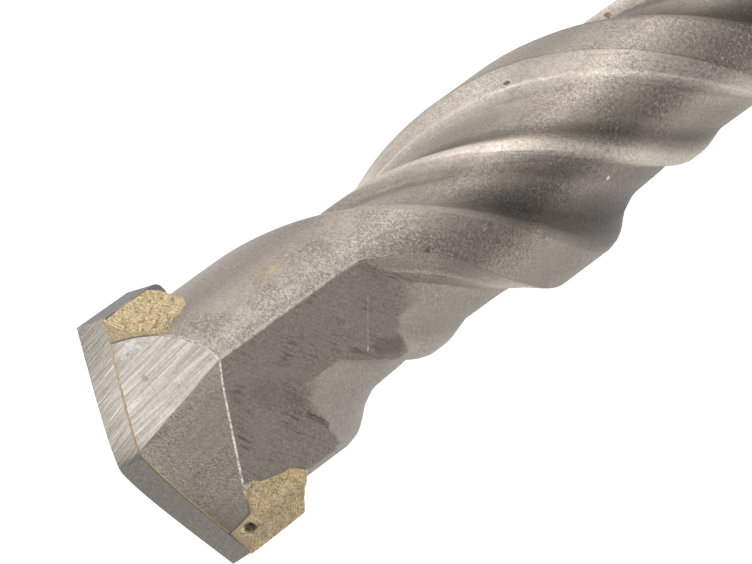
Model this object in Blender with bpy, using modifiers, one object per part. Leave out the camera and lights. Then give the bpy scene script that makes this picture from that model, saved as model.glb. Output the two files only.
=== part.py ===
"""A masonry drill bit for rotary hammers: a fluted steel body with a grooved shank, a carbide plate and its braze.

The bit stands on the flat end of its shank. The origin is the centre of that end, +Z runs to the tip, and +X lies
along the carbide plate. Lengths are in metres. A clock angle is measured from +X, clockwise as seen from the tip,
and a depth is measured down from the tip.
"""
import math

import bmesh
import bpy
import numpy as np
from mathutils import Matrix, Vector

# Overall sizes
OVERALL_LENGTH = 0.200
CUTTING_DIAMETER = 0.020
LAND_DIAMETER = 0.0161

# Flutes: a right-hand helix with two lands and a low rib in each flute
FLUTE_PITCH = 0.0585
FLOOR_DIAMETER = 0.0116
RIB_DIAMETER = 0.0127
LAND_ANGLE = math.radians(40)
LAND_END_CLOCK = math.radians(-70)
STEEP_WALL_ANGLE = math.radians(15)
SOFT_WALL_ANGLE = math.radians(16)
RIB_ANGLE = math.radians(32)
RIB_CREST_ANGLE = math.radians(13)
RIB_FROM_STEEP_WALL = math.radians(45)
RUN_OUT_LENGTH = 0.014

# Head: two flats that run out into the flutes, two ground cheeks on each side, and the slot for the plate
FLAT_DISTANCE = 0.0057
FLAT_CLOCK = math.radians(112)
FLAT_LENGTH = 0.0220
FLAT_RELEASE = 0.0070
HEAD_BLEND = math.radians(9)
CHEEK_RIDGE_START = 0.0006
PALE_CHEEK_RISE = 0.84
PALE_CHEEK_SLANT = 0.42
DARK_CHEEK_RISE = 1.16
DARK_CHEEK_SLANT = 0.34

# Carbide plate
PLATE_THICKNESS = 0.0030
PLATE_HEIGHT = 0.0096
POINT_ANGLE = math.radians(140)
RELIEF_ANGLE = math.radians(5)
PLATE_CORNER_RADIUS = 0.0009

# Braze: a thin film round the plate and a fillet at each of its four upright corners
BRAZE_FILM = 0.00012
SEAT_GAP = 0.00008
FILLET_WIDTH = 0.0034
FILLET_REACH = 0.0003
FILLET_TAIL = 0.0004
FILLET_LIFT = 0.0020

# Shank: 10 mm, with two open drive slots and two closed locking grooves
SHANK_DIAMETER = 0.010
SHANK_LENGTH = 0.046
SHANK_CHAMFER = 0.0008
COLLAR_DIAMETER = 0.0156
COLLAR_LENGTH = 0.008
SHOULDER_LENGTH = 0.0045
DRIVE_SLOT_WIDTH = 0.0040
DRIVE_SLOT_DEPTH = 0.0015
DRIVE_SLOT_LENGTH = 0.025
DRIVE_SLOT_CUTTER_RADIUS = 0.012
LOCK_GROOVE_WIDTH = 0.0055
LOCK_GROOVE_DEPTH = 0.0016
LOCK_GROOVE_START = 0.0105
LOCK_GROOVE_LENGTH = 0.0165

# Fineness of the meshes
LAND_STEPS = 6
WALL_STEPS = 3
FLOOR_STEPS = 4
RIB_STEPS = 5
FINE_RING_STEP = 0.0015
RING_STEP = 0.0030
FINE_RING_DEPTH = 0.030
ROUND_SIDES = 48
CUTTER_MARGIN = 0.004
SMOOTH_ANGLE = math.radians(32)

LAND_RADIUS = LAND_DIAMETER / 2
FLOOR_RADIUS = FLOOR_DIAMETER / 2
RIB_RADIUS = RIB_DIAMETER / 2
CUTTING_RADIUS = CUTTING_DIAMETER / 2
HALF_PLATE = PLATE_THICKNESS / 2
TURN = 2 * math.pi / FLUTE_PITCH
SLOT_HALF_WIDTH = HALF_PLATE + 2 * SEAT_GAP + BRAZE_FILM
SLOT_DEPTH = PLATE_HEIGHT + 2 * SEAT_GAP + BRAZE_FILM
BODY_START = SHANK_LENGTH + SHOULDER_LENGTH + COLLAR_LENGTH
FLUTE_END_DEPTH = OVERALL_LENGTH - BODY_START


def clear_scene():
    """Remove whatever objects the file starts with."""
    for obj in list(bpy.data.objects):
        bpy.data.objects.remove(obj, do_unlink=True)


def new_collection(name, hidden=False):
    """Add a collection to the scene."""
    collection = bpy.data.collections.new(name)
    bpy.context.scene.collection.children.link(collection)
    collection.hide_render = hidden
    return collection


def metal(name, colour, roughness):
    """Return a metallic Principled material."""
    material = bpy.data.materials.new(name)
    material.use_nodes = True
    shader = material.node_tree.nodes["Principled BSDF"]
    shader.inputs["Base Color"].default_value = (*colour, 1.0)
    shader.inputs["Roughness"].default_value = roughness
    shader.inputs["Metallic"].default_value = 1.0
    return material


def add_object(name, mesh_builder, collection):
    """Put a bmesh into a new object of the collection."""
    bmesh.ops.recalc_face_normals(mesh_builder, faces=mesh_builder.faces)
    mesh = bpy.data.meshes.new(name)
    mesh_builder.to_mesh(mesh)
    mesh_builder.free()
    obj = bpy.data.objects.new(name, mesh)
    collection.objects.link(obj)
    return obj


def as_cutter(obj):
    """Show a cutter as wires and keep it out of the render."""
    obj.hide_render = True
    obj.display_type = "WIRE"
    return obj


def combine(target, other, operation):
    """Add an exact Boolean modifier of the other object to the target."""
    modifier = target.modifiers.new(f"{operation.lower()}_{other.name}", "BOOLEAN")
    modifier.object = other
    modifier.operation = operation
    modifier.solver = "EXACT"


def box(name, low, high, collection):
    """Return a box between two corners, made from a cube."""
    builder = bmesh.new()
    bmesh.ops.create_cube(builder, size=1.0)
    low, high = Vector(low), Vector(high)
    size = high - low
    bmesh.ops.scale(builder, vec=size, verts=builder.verts)
    bmesh.ops.translate(builder, vec=(low + high) / 2, verts=builder.verts)
    return add_object(name, builder, collection)


def plane_block(name, point, outward, size, collection):
    """Return a cube that fills the space beyond a plane through the point."""
    builder = bmesh.new()
    bmesh.ops.create_cube(builder, size=size)
    bmesh.ops.translate(builder, vec=(0, 0, size / 2), verts=builder.verts)
    turn = Vector(outward).normalized().to_track_quat("Z", "Y").to_matrix().to_4x4()
    bmesh.ops.transform(builder, matrix=Matrix.Translation(point) @ turn, verts=builder.verts)
    return add_object(name, builder, collection)


def place(clock, radius, depth):
    """Return the points at the given clock angles, radii and depths below the tip."""
    clock, radius, depth = np.broadcast_arrays(clock, radius, depth)
    return np.stack([radius * np.cos(clock), -radius * np.sin(clock), OVERALL_LENGTH - depth], axis=-1)


def ease(share):
    """Return a smooth step from 0 to 1."""
    return share * share * (3 - 2 * share)


def half_profile():
    """Return the angles and radii of half a turn of the fluted section.

    It starts at the land's end at LAND_END_CLOCK, goes down the steep wall, over the floor, the rib and the floor
    again, up the soft wall and across the next land.
    """
    rib_start = STEEP_WALL_ANGLE + RIB_FROM_STEEP_WALL
    rib_end = rib_start + RIB_ANGLE
    soft_start = math.pi - LAND_ANGLE - SOFT_WALL_ANGLE
    steep = np.linspace(0, 1, WALL_STEPS, endpoint=False)
    floor = np.linspace(0, 1, FLOOR_STEPS, endpoint=False)
    rib = np.linspace(0, 1, RIB_STEPS, endpoint=False)
    land = np.linspace(0, 1, LAND_STEPS, endpoint=False)
    crest = np.clip((0.5 - np.abs(rib - 0.5)) * RIB_ANGLE / (0.5 * (RIB_ANGLE - RIB_CREST_ANGLE)), 0, 1)
    angles = np.concatenate([
        steep * STEEP_WALL_ANGLE,
        STEEP_WALL_ANGLE + floor * RIB_FROM_STEEP_WALL,
        rib_start + rib * RIB_ANGLE,
        rib_end + floor * (soft_start - rib_end),
        soft_start + steep * SOFT_WALL_ANGLE,
        math.pi - LAND_ANGLE + land * LAND_ANGLE,
    ])
    radii = np.concatenate([
        LAND_RADIUS + (FLOOR_RADIUS - LAND_RADIUS) * steep,
        np.full(FLOOR_STEPS, FLOOR_RADIUS),
        FLOOR_RADIUS + (RIB_RADIUS - FLOOR_RADIUS) * ease(crest),
        np.full(FLOOR_STEPS, FLOOR_RADIUS),
        FLOOR_RADIUS + (LAND_RADIUS - FLOOR_RADIUS) * ease(steep),
        np.full(LAND_STEPS, LAND_RADIUS),
    ])
    return angles, radii


def later(fixed, moving):
    """Return the larger of two clock angles, rounded off where they cross."""
    return (fixed + moving + math.hypot(fixed - moving, HEAD_BLEND)) / 2


def flute_section(depth):
    """Return one closed ring of the fluted body at a depth below the tip.

    Each land ends where the helix ends it, or at the edge of a head flat while that comes later. Between the
    lands the flute's profile turns with the helix: before the flat's middle the outer of flat and steep wall is
    kept, and after it the inner of flat and flute, until the flat runs out.
    """
    angles, radii = half_profile()
    start = LAND_END_CLOCK + TURN * depth
    flat_half = math.acos(FLAT_DISTANCE / LAND_RADIUS)
    high = later(FLAT_CLOCK - flat_half, start)
    low = later(FLAT_CLOCK + flat_half, start + math.pi - LAND_ANGLE)
    is_land = angles >= math.pi - LAND_ANGLE
    along_land = (angles - math.pi + LAND_ANGLE) / LAND_ANGLE
    along_flute = angles / (math.pi - LAND_ANGLE)
    clocks = np.where(is_land, low + along_land * (high + math.pi - low), high + along_flute * (low - high))
    flute = np.interp(clocks - start, np.append(angles, math.pi), np.append(radii, LAND_RADIUS))
    slant = np.clip(clocks - FLAT_CLOCK, -flat_half, flat_half)
    flat = FLAT_DISTANCE / np.cos(slant)
    release = LAND_RADIUS * ease(min(max((depth - FLAT_LENGTH) / FLAT_RELEASE, 0.0), 1.0))
    wall = np.interp(clocks - start, [0, STEEP_WALL_ANGLE], [LAND_RADIUS, FLAT_DISTANCE])
    cut = np.where(clocks < FLAT_CLOCK, np.maximum(wall, flat), np.minimum(flute, flat + release))
    on_land = is_land | (angles == 0)
    radii = np.where(on_land, LAND_RADIUS, np.minimum(cut, LAND_RADIUS))
    room = (FLUTE_END_DEPTH - depth) / RUN_OUT_LENGTH
    fade = ease(min(max(room, 0.0), 1.0))
    radii = LAND_RADIUS + (radii - LAND_RADIUS) * fade
    clocks = np.concatenate([clocks, clocks + math.pi])
    radii = np.concatenate([radii, radii])
    return place(clocks, radii, depth)


def ring_depths():
    """Return the depths of the rings, closer together near the tip."""
    fine = np.arange(-CUTTER_MARGIN / 2, FINE_RING_DEPTH, FINE_RING_STEP)
    end = FLUTE_END_DEPTH + COLLAR_LENGTH / 2
    count = max(2, round((end - FINE_RING_DEPTH) / RING_STEP) + 1)
    return np.concatenate([fine, np.linspace(FINE_RING_DEPTH, end, count)])


def fluted_rod(collection):
    """Return the fluted length of the body, a loft through rings that turn with the helix."""
    builder = bmesh.new()
    rings = [[builder.verts.new(point) for point in flute_section(depth)] for depth in ring_depths()]
    sides = len(rings[0])
    for upper, lower in zip(rings, rings[1:]):
        for i in range(sides):
            j = (i + 1) % sides
            builder.faces.new((upper[i], upper[j], lower[j], lower[i]))
    builder.faces.new(rings[0])
    builder.faces.new(rings[-1])
    return add_object("drill_body", builder, collection)


def turned_shank(collection):
    """Return the shank, shoulder and collar, turned from one profile."""
    shank = SHANK_DIAMETER / 2
    collar = COLLAR_DIAMETER / 2
    profile = [
        (0, BODY_START),
        (collar - SHANK_CHAMFER, BODY_START),
        (collar, BODY_START - SHANK_CHAMFER),
        (collar, SHANK_LENGTH + SHOULDER_LENGTH),
        (shank, SHANK_LENGTH),
        (shank, SHANK_CHAMFER),
        (shank - SHANK_CHAMFER, 0),
        (0, 0),
    ]
    builder = bmesh.new()
    points = [builder.verts.new((radius, 0, height)) for radius, height in profile]
    for start, end in zip(points, points[1:]):
        builder.edges.new((start, end))
    obj = add_object("shank_blank", builder, collection)
    screw = obj.modifiers.new("turn", "SCREW")
    screw.steps = ROUND_SIDES
    screw.render_steps = ROUND_SIDES
    screw.use_merge_vertices = True
    screw.merge_threshold = 0.00001
    return obj


def drive_slot_cutters(side, collection):
    """Return the two cutters of an open drive slot: its straight length and the disc that leaves the run-out."""
    floor = SHANK_DIAMETER / 2 - DRIVE_SLOT_DEPTH
    half = DRIVE_SLOT_WIDTH / 2
    outer = floor + 2 * DRIVE_SLOT_CUTTER_RADIUS
    low = (min(side * floor, side * outer), -half, -CUTTER_MARGIN)
    high = (max(side * floor, side * outer), half, DRIVE_SLOT_LENGTH)
    straight = box(f"drive_slot_{'left' if side < 0 else 'right'}", low, high, collection)
    builder = bmesh.new()
    bmesh.ops.create_cone(
        builder,
        cap_ends=True,
        segments=ROUND_SIDES,
        radius1=DRIVE_SLOT_CUTTER_RADIUS,
        radius2=DRIVE_SLOT_CUTTER_RADIUS,
        depth=DRIVE_SLOT_WIDTH,
    )
    centre = Vector((side * (floor + DRIVE_SLOT_CUTTER_RADIUS), 0, DRIVE_SLOT_LENGTH))
    turn = Matrix.Translation(centre) @ Matrix.Rotation(math.pi / 2, 4, "X")
    bmesh.ops.transform(builder, matrix=turn, verts=builder.verts)
    disc = add_object(f"drive_slot_disc_{'left' if side < 0 else 'right'}", builder, collection)
    return straight, disc


def lock_groove_cutter(side, collection):
    """Return the capsule that cuts a closed locking groove: a sphere whose upper half is moved up."""
    radius = LOCK_GROOVE_WIDTH / 2
    builder = bmesh.new()
    bmesh.ops.create_uvsphere(builder, u_segments=24, v_segments=12, radius=radius)
    straight = LOCK_GROOVE_LENGTH - 2 * radius
    upper = [vertex for vertex in builder.verts if vertex.co.z > radius * 0.01]
    bmesh.ops.translate(builder, vec=(0, 0, straight), verts=upper)
    centre = (0, side * (SHANK_DIAMETER / 2 - LOCK_GROOVE_DEPTH + radius), LOCK_GROOVE_START + radius)
    bmesh.ops.translate(builder, vec=centre, verts=builder.verts)
    return add_object(f"lock_groove_{'near' if side < 0 else 'far'}", builder, collection)


def cheek_blocks(collection):
    """Return the four blocks beyond the ground cheeks: a pale and a dark one on each side of the plate."""
    blocks = []
    for side, label in ((1, "near"), (-1, "far")):
        ridge = Vector((side * CHEEK_RIDGE_START, -side * HALF_PLATE, OVERALL_LENGTH))
        for slant, rise, shade in (
            (PALE_CHEEK_SLANT, PALE_CHEEK_RISE, "pale"),
            (-DARK_CHEEK_SLANT, DARK_CHEEK_RISE, "dark"),
        ):
            outward = Vector((side * slant, -side * rise, 1.0))
            blocks.append(plane_block(f"{shade}_cheek_{label}", ridge, outward, 4 * CUTTING_DIAMETER, collection))
    return blocks


def plate(name, grow, collection):
    """Return the carbide plate, grown by a clearance on every side: a box with a roof-shaped, relieved crown."""
    half_length = CUTTING_RADIUS + grow
    half_width = HALF_PLATE + grow
    base = OVERALL_LENGTH - PLATE_HEIGHT - grow
    builder = bmesh.new()
    bmesh.ops.create_cube(builder, size=2.0)
    top = OVERALL_LENGTH + CUTTING_DIAMETER
    bmesh.ops.scale(builder, vec=(half_length, half_width, (top - base) / 2), verts=builder.verts)
    bmesh.ops.translate(builder, vec=(0, 0, (top + base) / 2), verts=builder.verts)
    lower = [
        edge for edge in builder.edges
        if all(vertex.co.z < OVERALL_LENGTH - PLATE_HEIGHT / 2 for vertex in edge.verts)
        and abs(edge.verts[0].co.x - edge.verts[1].co.x) < SEAT_GAP
    ]
    bmesh.ops.bevel(
        builder, geom=lower, offset=PLATE_CORNER_RADIUS, segments=3, profile=0.5, affect="EDGES"
    )
    fall = 1 / math.tan(POINT_ANGLE / 2)
    relief = math.tan(RELIEF_ANGLE)
    for side in (1, -1):
        lead = Vector((0, side * half_width, OVERALL_LENGTH + grow))
        outward = Vector((side * fall, -side * relief, 1.0))
        cut = bmesh.ops.bisect_plane(
            builder,
            geom=builder.verts[:] + builder.edges[:] + builder.faces[:],
            plane_co=lead,
            plane_no=outward,
            clear_outer=True,
        )
        edges = [item for item in cut["geom_cut"] if isinstance(item, bmesh.types.BMEdge)]
        bmesh.ops.edgeloop_fill(builder, edges=edges)
    return add_object(name, builder, collection)


def fillet_prism(collection):
    """Return the block whose corners outside the land make the four braze fillets: its base rises towards them."""
    land = LAND_RADIUS
    reach = CUTTING_RADIUS - FILLET_REACH
    outline = [
        (reach, SLOT_HALF_WIDTH),
        (land * 0.9, FILLET_WIDTH),
        (-land * 0.9, FILLET_WIDTH),
        (-reach, SLOT_HALF_WIDTH),
        (-reach, -SLOT_HALF_WIDTH),
        (-land * 0.9, -FILLET_WIDTH),
        (land * 0.9, -FILLET_WIDTH),
        (reach, -SLOT_HALF_WIDTH),
    ]
    base = OVERALL_LENGTH - PLATE_HEIGHT - FILLET_TAIL
    builder = bmesh.new()
    centre = builder.verts.new((0, 0, base))
    upper = [builder.verts.new((x, y, OVERALL_LENGTH)) for x, y in outline]
    lower = [builder.verts.new((x, y, base + FILLET_LIFT * (abs(x) == reach))) for x, y in outline]
    builder.faces.new(upper)
    for i in range(len(outline)):
        j = (i + 1) % len(outline)
        builder.faces.new((upper[i], upper[j], lower[j]))
        builder.faces.new((upper[i], lower[j], lower[i]))
        builder.faces.new((lower[i], lower[j], centre))
    return add_object("braze_joint", builder, collection)


def make_body(parts, cutters):
    """Return the one-piece steel body."""
    body = fluted_rod(parts)
    shank = as_cutter(turned_shank(cutters))
    combine(body, shank, "UNION")
    for block in cheek_blocks(cutters):
        combine(body, as_cutter(block), "DIFFERENCE")
    slot = box(
        "plate_slot",
        (-CUTTING_DIAMETER, -SLOT_HALF_WIDTH, OVERALL_LENGTH - SLOT_DEPTH),
        (CUTTING_DIAMETER, SLOT_HALF_WIDTH, OVERALL_LENGTH + CUTTER_MARGIN),
        cutters,
    )
    combine(body, as_cutter(slot), "DIFFERENCE")
    for side in (1, -1):
        for cutter in drive_slot_cutters(side, cutters):
            combine(body, as_cutter(cutter), "DIFFERENCE")
        combine(body, as_cutter(lock_groove_cutter(side, cutters)), "DIFFERENCE")
    body.data.materials.append(metal("blasted_steel", (0.42, 0.39, 0.36), 0.45))
    return body


def make_plate(parts):
    """Return the carbide plate."""
    tip = plate("carbide_tip", 0.0, parts)
    tip.data.materials.append(metal("ground_carbide", (0.36, 0.34, 0.32), 0.40))
    return tip


def make_braze(parts, cutters):
    """Return the braze: a film in the slot, joined to the four fillets outside the land."""
    braze = fillet_prism(parts)
    inner = SLOT_HALF_WIDTH - SEAT_GAP
    floor = OVERALL_LENGTH - SLOT_DEPTH + SEAT_GAP
    land = LAND_RADIUS + SEAT_GAP
    builder = bmesh.new()
    bmesh.ops.create_cone(
        builder, cap_ends=True, segments=ROUND_SIDES, radius1=land, radius2=land, depth=4 * PLATE_HEIGHT
    )
    bmesh.ops.translate(builder, vec=(0, 0, OVERALL_LENGTH), verts=builder.verts)
    room = as_cutter(add_object("land_room", builder, cutters))
    combine(braze, room, "DIFFERENCE")
    film = box(
        "braze_film",
        (-land - SEAT_GAP, -inner, floor),
        (land + SEAT_GAP, inner, OVERALL_LENGTH),
        cutters,
    )
    combine(braze, as_cutter(film), "UNION")
    combine(braze, as_cutter(plate("plate_room", SEAT_GAP, cutters)), "DIFFERENCE")
    for name in ("pale_cheek_near", "dark_cheek_near", "pale_cheek_far", "dark_cheek_far"):
        combine(braze, bpy.data.objects[name], "DIFFERENCE")
    braze.data.materials.append(metal("braze", (0.62, 0.47, 0.24), 0.50))
    return braze


def main():
    """Build the three pieces and parent them to one empty."""
    clear_scene()
    parts = new_collection("hammer_drill_bit")
    cutters = new_collection("cutters", hidden=True)
    pieces = [make_body(parts, cutters), make_plate(parts), make_braze(parts, cutters)]
    root = bpy.data.objects.new("bit_origin", None)
    parts.objects.link(root)
    for piece in pieces:
        piece.parent = root
        piece.data.shade_smooth()
        piece.data.set_sharp_from_angle(angle=SMOOTH_ANGLE)


main()
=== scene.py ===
# %% [markdown]
# A drill bit for rotary hammers, shown close up at its carbide tip. The packed solids are a fixed frame, and every
# visible surface is laid over them as a fine mesh with its own finish. The bit stands on the end of its shank:
# +Z runs to the tip and +X along the carbide plate.

# %% Load the frame and measure it
import math

import bmesh
import bpy
import numpy as np
from mathutils import Matrix, Vector


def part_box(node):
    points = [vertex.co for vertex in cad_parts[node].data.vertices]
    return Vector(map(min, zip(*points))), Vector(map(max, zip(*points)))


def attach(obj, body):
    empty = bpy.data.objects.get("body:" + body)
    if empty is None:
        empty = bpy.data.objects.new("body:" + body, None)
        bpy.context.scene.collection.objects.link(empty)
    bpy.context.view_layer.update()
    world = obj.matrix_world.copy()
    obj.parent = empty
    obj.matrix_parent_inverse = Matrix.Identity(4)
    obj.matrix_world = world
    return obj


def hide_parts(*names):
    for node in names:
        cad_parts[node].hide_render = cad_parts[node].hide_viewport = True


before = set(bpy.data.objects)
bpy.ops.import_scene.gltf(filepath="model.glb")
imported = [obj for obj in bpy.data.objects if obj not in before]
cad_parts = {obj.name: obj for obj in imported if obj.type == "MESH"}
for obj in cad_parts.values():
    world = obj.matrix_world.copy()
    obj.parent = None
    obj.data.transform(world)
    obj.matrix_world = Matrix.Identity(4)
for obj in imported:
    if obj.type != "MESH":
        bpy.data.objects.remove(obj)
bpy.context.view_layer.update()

MM = 0.001
DEGREE = math.radians(1)
HALF_TURN = math.pi
LENGTH = 200.0 * MM
CUTTING_RADIUS, HALF_PLATE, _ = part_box("carbide_tip")[1]
print("plate reaches", round(CUTTING_RADIUS / MM, 2), "mm from the axis")
print("plate is", round(2 * HALF_PLATE / MM, 2), "mm thick")

# %% [markdown]
# The camera comes first. A long lens from two thirds of a metre keeps the perspective flat, as in a product
# close-up, and the strong roll lets the body leave the picture at its upper right corner. The lens is aimed through
# the middle of the picture, so no shift is needed.

# %% Camera
PICTURE_WIDTH = 752
PICTURE_HEIGHT = 564
SENSOR_WIDTH = 36.0
TIP_PIXEL = (119.7, 472.8)
PIXELS_PER_RADIAN = 9599.0
CAMERA_DISTANCE = 665 * MM
AIM_ABOVE_TIP = 1.18 * MM
LINE_OF_SIGHT = Vector((-0.0939, 0.8146, -0.5723))
PICTURE_UP = Vector((0.8388, -0.2449, -0.4862))


def add_camera():
    """Place the camera so that the tip falls on its pixel, then turn it to look through the picture's middle."""
    forward = LINE_OF_SIGHT.normalized()
    right = forward.cross(PICTURE_UP).normalized()
    up = right.cross(forward)
    place = Vector((0, 0, LENGTH + AIM_ABOVE_TIP)) - forward * CAMERA_DISTANCE
    across = (PICTURE_WIDTH / 2 - TIP_PIXEL[0]) / PIXELS_PER_RADIAN
    upward = (TIP_PIXEL[1] - PICTURE_HEIGHT / 2) / PIXELS_PER_RADIAN
    forward = (forward + across * right + upward * up).normalized()
    right = forward.cross(up).normalized()
    up = right.cross(forward)
    lens = bpy.data.cameras.new("close_up")
    lens.sensor_width = SENSOR_WIDTH
    lens.lens = PIXELS_PER_RADIAN * SENSOR_WIDTH / PICTURE_WIDTH
    lens.clip_start = 10 * MM
    lens.clip_end = 20.0
    camera = bpy.data.objects.new("close_up", lens)
    camera.matrix_world = Matrix.Translation(place) @ Matrix((right, up, -forward)).transposed().to_4x4()
    bpy.context.scene.collection.objects.link(camera)
    bpy.context.scene.camera = camera
    return camera


camera = add_camera()
print("lens", round(camera.data.lens), "mm at", [round(value, 3) for value in camera.location])

# %% [markdown]
# All surfaces here are grids: whole arrays of points, one row after another. `patch` turns a grid of points into
# quads and carries values such as the share of a finish along with each point. `weld` joins patches into one
# closed mesh, so that neighbours share their edges. Box modelling with modifiers would be quicker to start, but a
# formula can be read, and one value changes the whole form.

# %% Grids and welding
WELD_DISTANCE = 0.0015 * MM


def patch(points, finish=0, **shares):
    """Return a grid of points (rows x columns x 3), its quads and the named shares of each point."""
    rows, columns = points.shape[:2]
    corner = np.arange(rows - 1)[:, None] * columns + np.arange(columns - 1)[None, :]
    quads = np.stack([corner, corner + 1, corner + columns + 1, corner + columns], axis=-1).reshape(-1, 4)
    flat = {name: np.broadcast_to(value, (rows, columns)).ravel() for name, value in shares.items()}
    finishes = np.broadcast_to(np.asarray(finish), (rows - 1, columns - 1)).ravel()
    return points.reshape(-1, 3), quads, finishes, flat


def half_turned(piece):
    """Return the same patch turned by half a turn about the bit's axis."""
    points, quads, finishes, flat = piece
    return points * np.array([-1, -1, 1]), quads, finishes, flat


def weld(name, patches, share_names=(), sharp_angle=30):
    """Join the patches into one mesh object with merged seams, outward faces and smooth shading."""
    points = np.concatenate([piece[0] for piece in patches])
    starts = np.cumsum([0] + [len(piece[0]) for piece in patches[:-1]])
    quads = np.concatenate([piece[1] + start for piece, start in zip(patches, starts)])
    finishes = np.concatenate([piece[2] for piece in patches])
    mesh = bpy.data.meshes.new(name)
    mesh.from_pydata(points.tolist(), [], quads.tolist())
    mesh.polygons.foreach_set("material_index", finishes.astype(np.int32))
    for share in share_names:
        values = np.concatenate([piece[3].get(share, np.zeros(len(piece[0]))) for piece in patches])
        mesh.attributes.new(share, "FLOAT", "POINT").data.foreach_set("value", values.astype(np.float32))
    shell = bmesh.new()
    shell.from_mesh(mesh)
    bmesh.ops.remove_doubles(shell, verts=shell.verts, dist=WELD_DISTANCE)
    bmesh.ops.recalc_face_normals(shell, faces=shell.faces)
    shell.to_mesh(mesh)
    open_edges = sum(1 for edge in shell.edges if len(edge.link_faces) != 2)
    shell.free()
    mesh.shade_smooth()
    mesh.set_sharp_from_angle(angle=math.radians(sharp_angle))
    piece = bpy.data.objects.new(name, mesh)
    bpy.context.scene.collection.objects.link(piece)
    print(name, len(mesh.vertices), "points,", len(mesh.polygons), "faces, open edges", open_edges)
    return piece


print("a grid of 4 by 3 points has", len(patch(np.zeros((4, 3, 3)))[1]), "quads")

# %% [markdown]
# The formulas share a few small helpers: a smooth step, straight lines between given pairs, points given by a clock
# angle, and an uneven field for rough surfaces. A displacement modifier could roughen a surface too, but would open
# the edges that patches share.

# %% Helpers for the formulas
def ease(share):
    """Return a smooth step from 0 to 1 of values held between 0 and 1."""
    share = np.clip(share, 0, 1)
    return share * share * (3 - 2 * share)


def fade_in(value, start, length):
    """Return a smooth step from 0 to 1 that begins at start and takes a length."""
    return ease((value - start) / length)


def between(pairs, where, place_unit=1.0, value_unit=1.0):
    """Return the values at some places, on straight lines between pairs of place and value in the given units."""
    places, values = np.array(pairs, float).T
    return np.interp(where, places * place_unit, values * value_unit)


def place(clock, radius, depth):
    """Return points at clock angles (from +X, clockwise seen from the tip), radii and depths below the tip."""
    clock, radius, depth = np.broadcast_arrays(clock, radius, depth)
    return np.stack([radius * np.cos(clock), -radius * np.sin(clock), LENGTH - depth], axis=-1)


def ripples(points, size, seed, waves=28):
    """Return an uneven field around 0: a sum of plane waves in random directions, about one size long.

    Each wave is cos(2 pi / size * direction . point + phase), with a direction that is 0.7 to 1.4 long.
    """
    draw = np.random.default_rng(seed)
    total = np.zeros(points.shape[:-1])
    for _ in range(waves):
        direction = draw.normal(size=3)
        direction *= draw.uniform(0.7, 1.4) / np.linalg.norm(direction)
        total += np.cos(points @ direction * (2 * math.pi / size) + draw.uniform(0, 2 * math.pi))
    return total / math.sqrt(waves / 2)


print("a smooth step passes", [round(float(ease(share)), 2) for share in (0.25, 0.5, 0.75)])

# %% [markdown]
# The steel body is milled and rolled from one bar. Two lands wind round it as a right-hand helix, and in each flute
# runs a low rib. A screw modifier could wind one fixed section up, but this section changes towards the tip, so the
# radius is a function of the clock angle and the depth. Over half a turn from a land's edge it goes down the steep
# wall with its tool line, over the floor, up the rib, through the hollow behind it and up the soft wall.

# %% Section of the flutes
FLUTE_PITCH = 58.5 * MM
TURN = 2 * math.pi / FLUTE_PITCH
LAND_RADIUS = 7.98 * MM
LAND_ANGLE = 34 * DEGREE
LAND_END_CLOCK = -70 * DEGREE
STEEP_WALL_ANGLE = 15 * DEGREE
ROUNDING = np.array([-0.9, -0.3, 0.3, 0.9]) * DEGREE
# Degrees past the land's edge, and radius in mm: the steep wall, floor, rib, hollow, soft wall and next land.
SECTION = [
    (0, 7.98), (7, 6.98), (8, 6.72), (9.2, 6.80), (15, 5.95), (28, 5.82), (56, 5.76), (62, 6.02), (69, 6.34),
    (78, 6.36), (83.5, 5.55), (90, 5.50), (98, 5.66), (117, 5.80), (124.5, 6.05), (135, 6.86), (140, 7.78),
    (146, 7.98), (180, 7.98),
]
# Depth in mm, and degrees by which the steep wall's edge leaves the helix there.
EDGE_SHIFTS = [
    (19.0, 8.0), (20.7, 9.0), (21.8, 8.0), (23.6, 2.6), (25.1, -1.3), (26.5, -3.5), (27.8, -2.7), (29.2, -1.1),
    (31.0, 0.0), (36.0, 0.0), (43.5, -5.0),
]


def flute_radius(angle):
    """Return the section's radius at an angle past a land's edge, with its corners slightly rounded."""
    return np.mean([between(SECTION, angle + shift, DEGREE, MM) for shift in ROUNDING], axis=0)


def past_edge(clock, depth):
    """Return the angle past a land's edge: the steep wall is stretched to reach the edge where it has shifted."""
    angle = clock - (LAND_END_CLOCK + TURN * depth)
    edge = between(EDGE_SHIFTS, depth, MM, DEGREE)
    on_wall = STEEP_WALL_ANGLE * (angle - edge) / (STEEP_WALL_ANGLE - edge)
    return np.where(angle < STEEP_WALL_ANGLE, on_wall, angle)


print("helix turns", round(math.degrees(TURN * 10 * MM), 1), "degrees in each 10 mm")

# %% [markdown]
# In the head the flutes haven't begun. Two milled flats stand in their place, and each land is a quarter of a turn
# wide. A boolean cut would leave long, thin faces there, so the columns of the grid follow the land's two edges all
# the way instead. A narrow pair of columns beside each edge leaves a small chamfer that catches the light, and the
# slot for the plate has columns of its own.

# %% Columns of the body
FLAT_DISTANCE = 5.70 * MM
FLAT_HALF = math.acos(FLAT_DISTANCE / LAND_RADIUS)
FLAT_CLOCK = 112 * DEGREE
HEAD_BLEND = 4 * DEGREE
SLOT_HALF_WIDTH = HALF_PLATE + 0.12 * MM
SLOT_DEPTH = 9.9 * MM
EDGE_SHARE = 0.0035
WALL_SHARE = 0.15
BEFORE_SLOT, ACROSS_SLOT, AFTER_SLOT = 10, 12, 30
WALL_COLUMNS, FLUTE_COLUMNS = 30, 62


def later(fixed, moving):
    """Return the larger of two clock angles, rounded off where they cross."""
    return (fixed + moving + np.hypot(fixed - moving, HEAD_BLEND)) / 2


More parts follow.
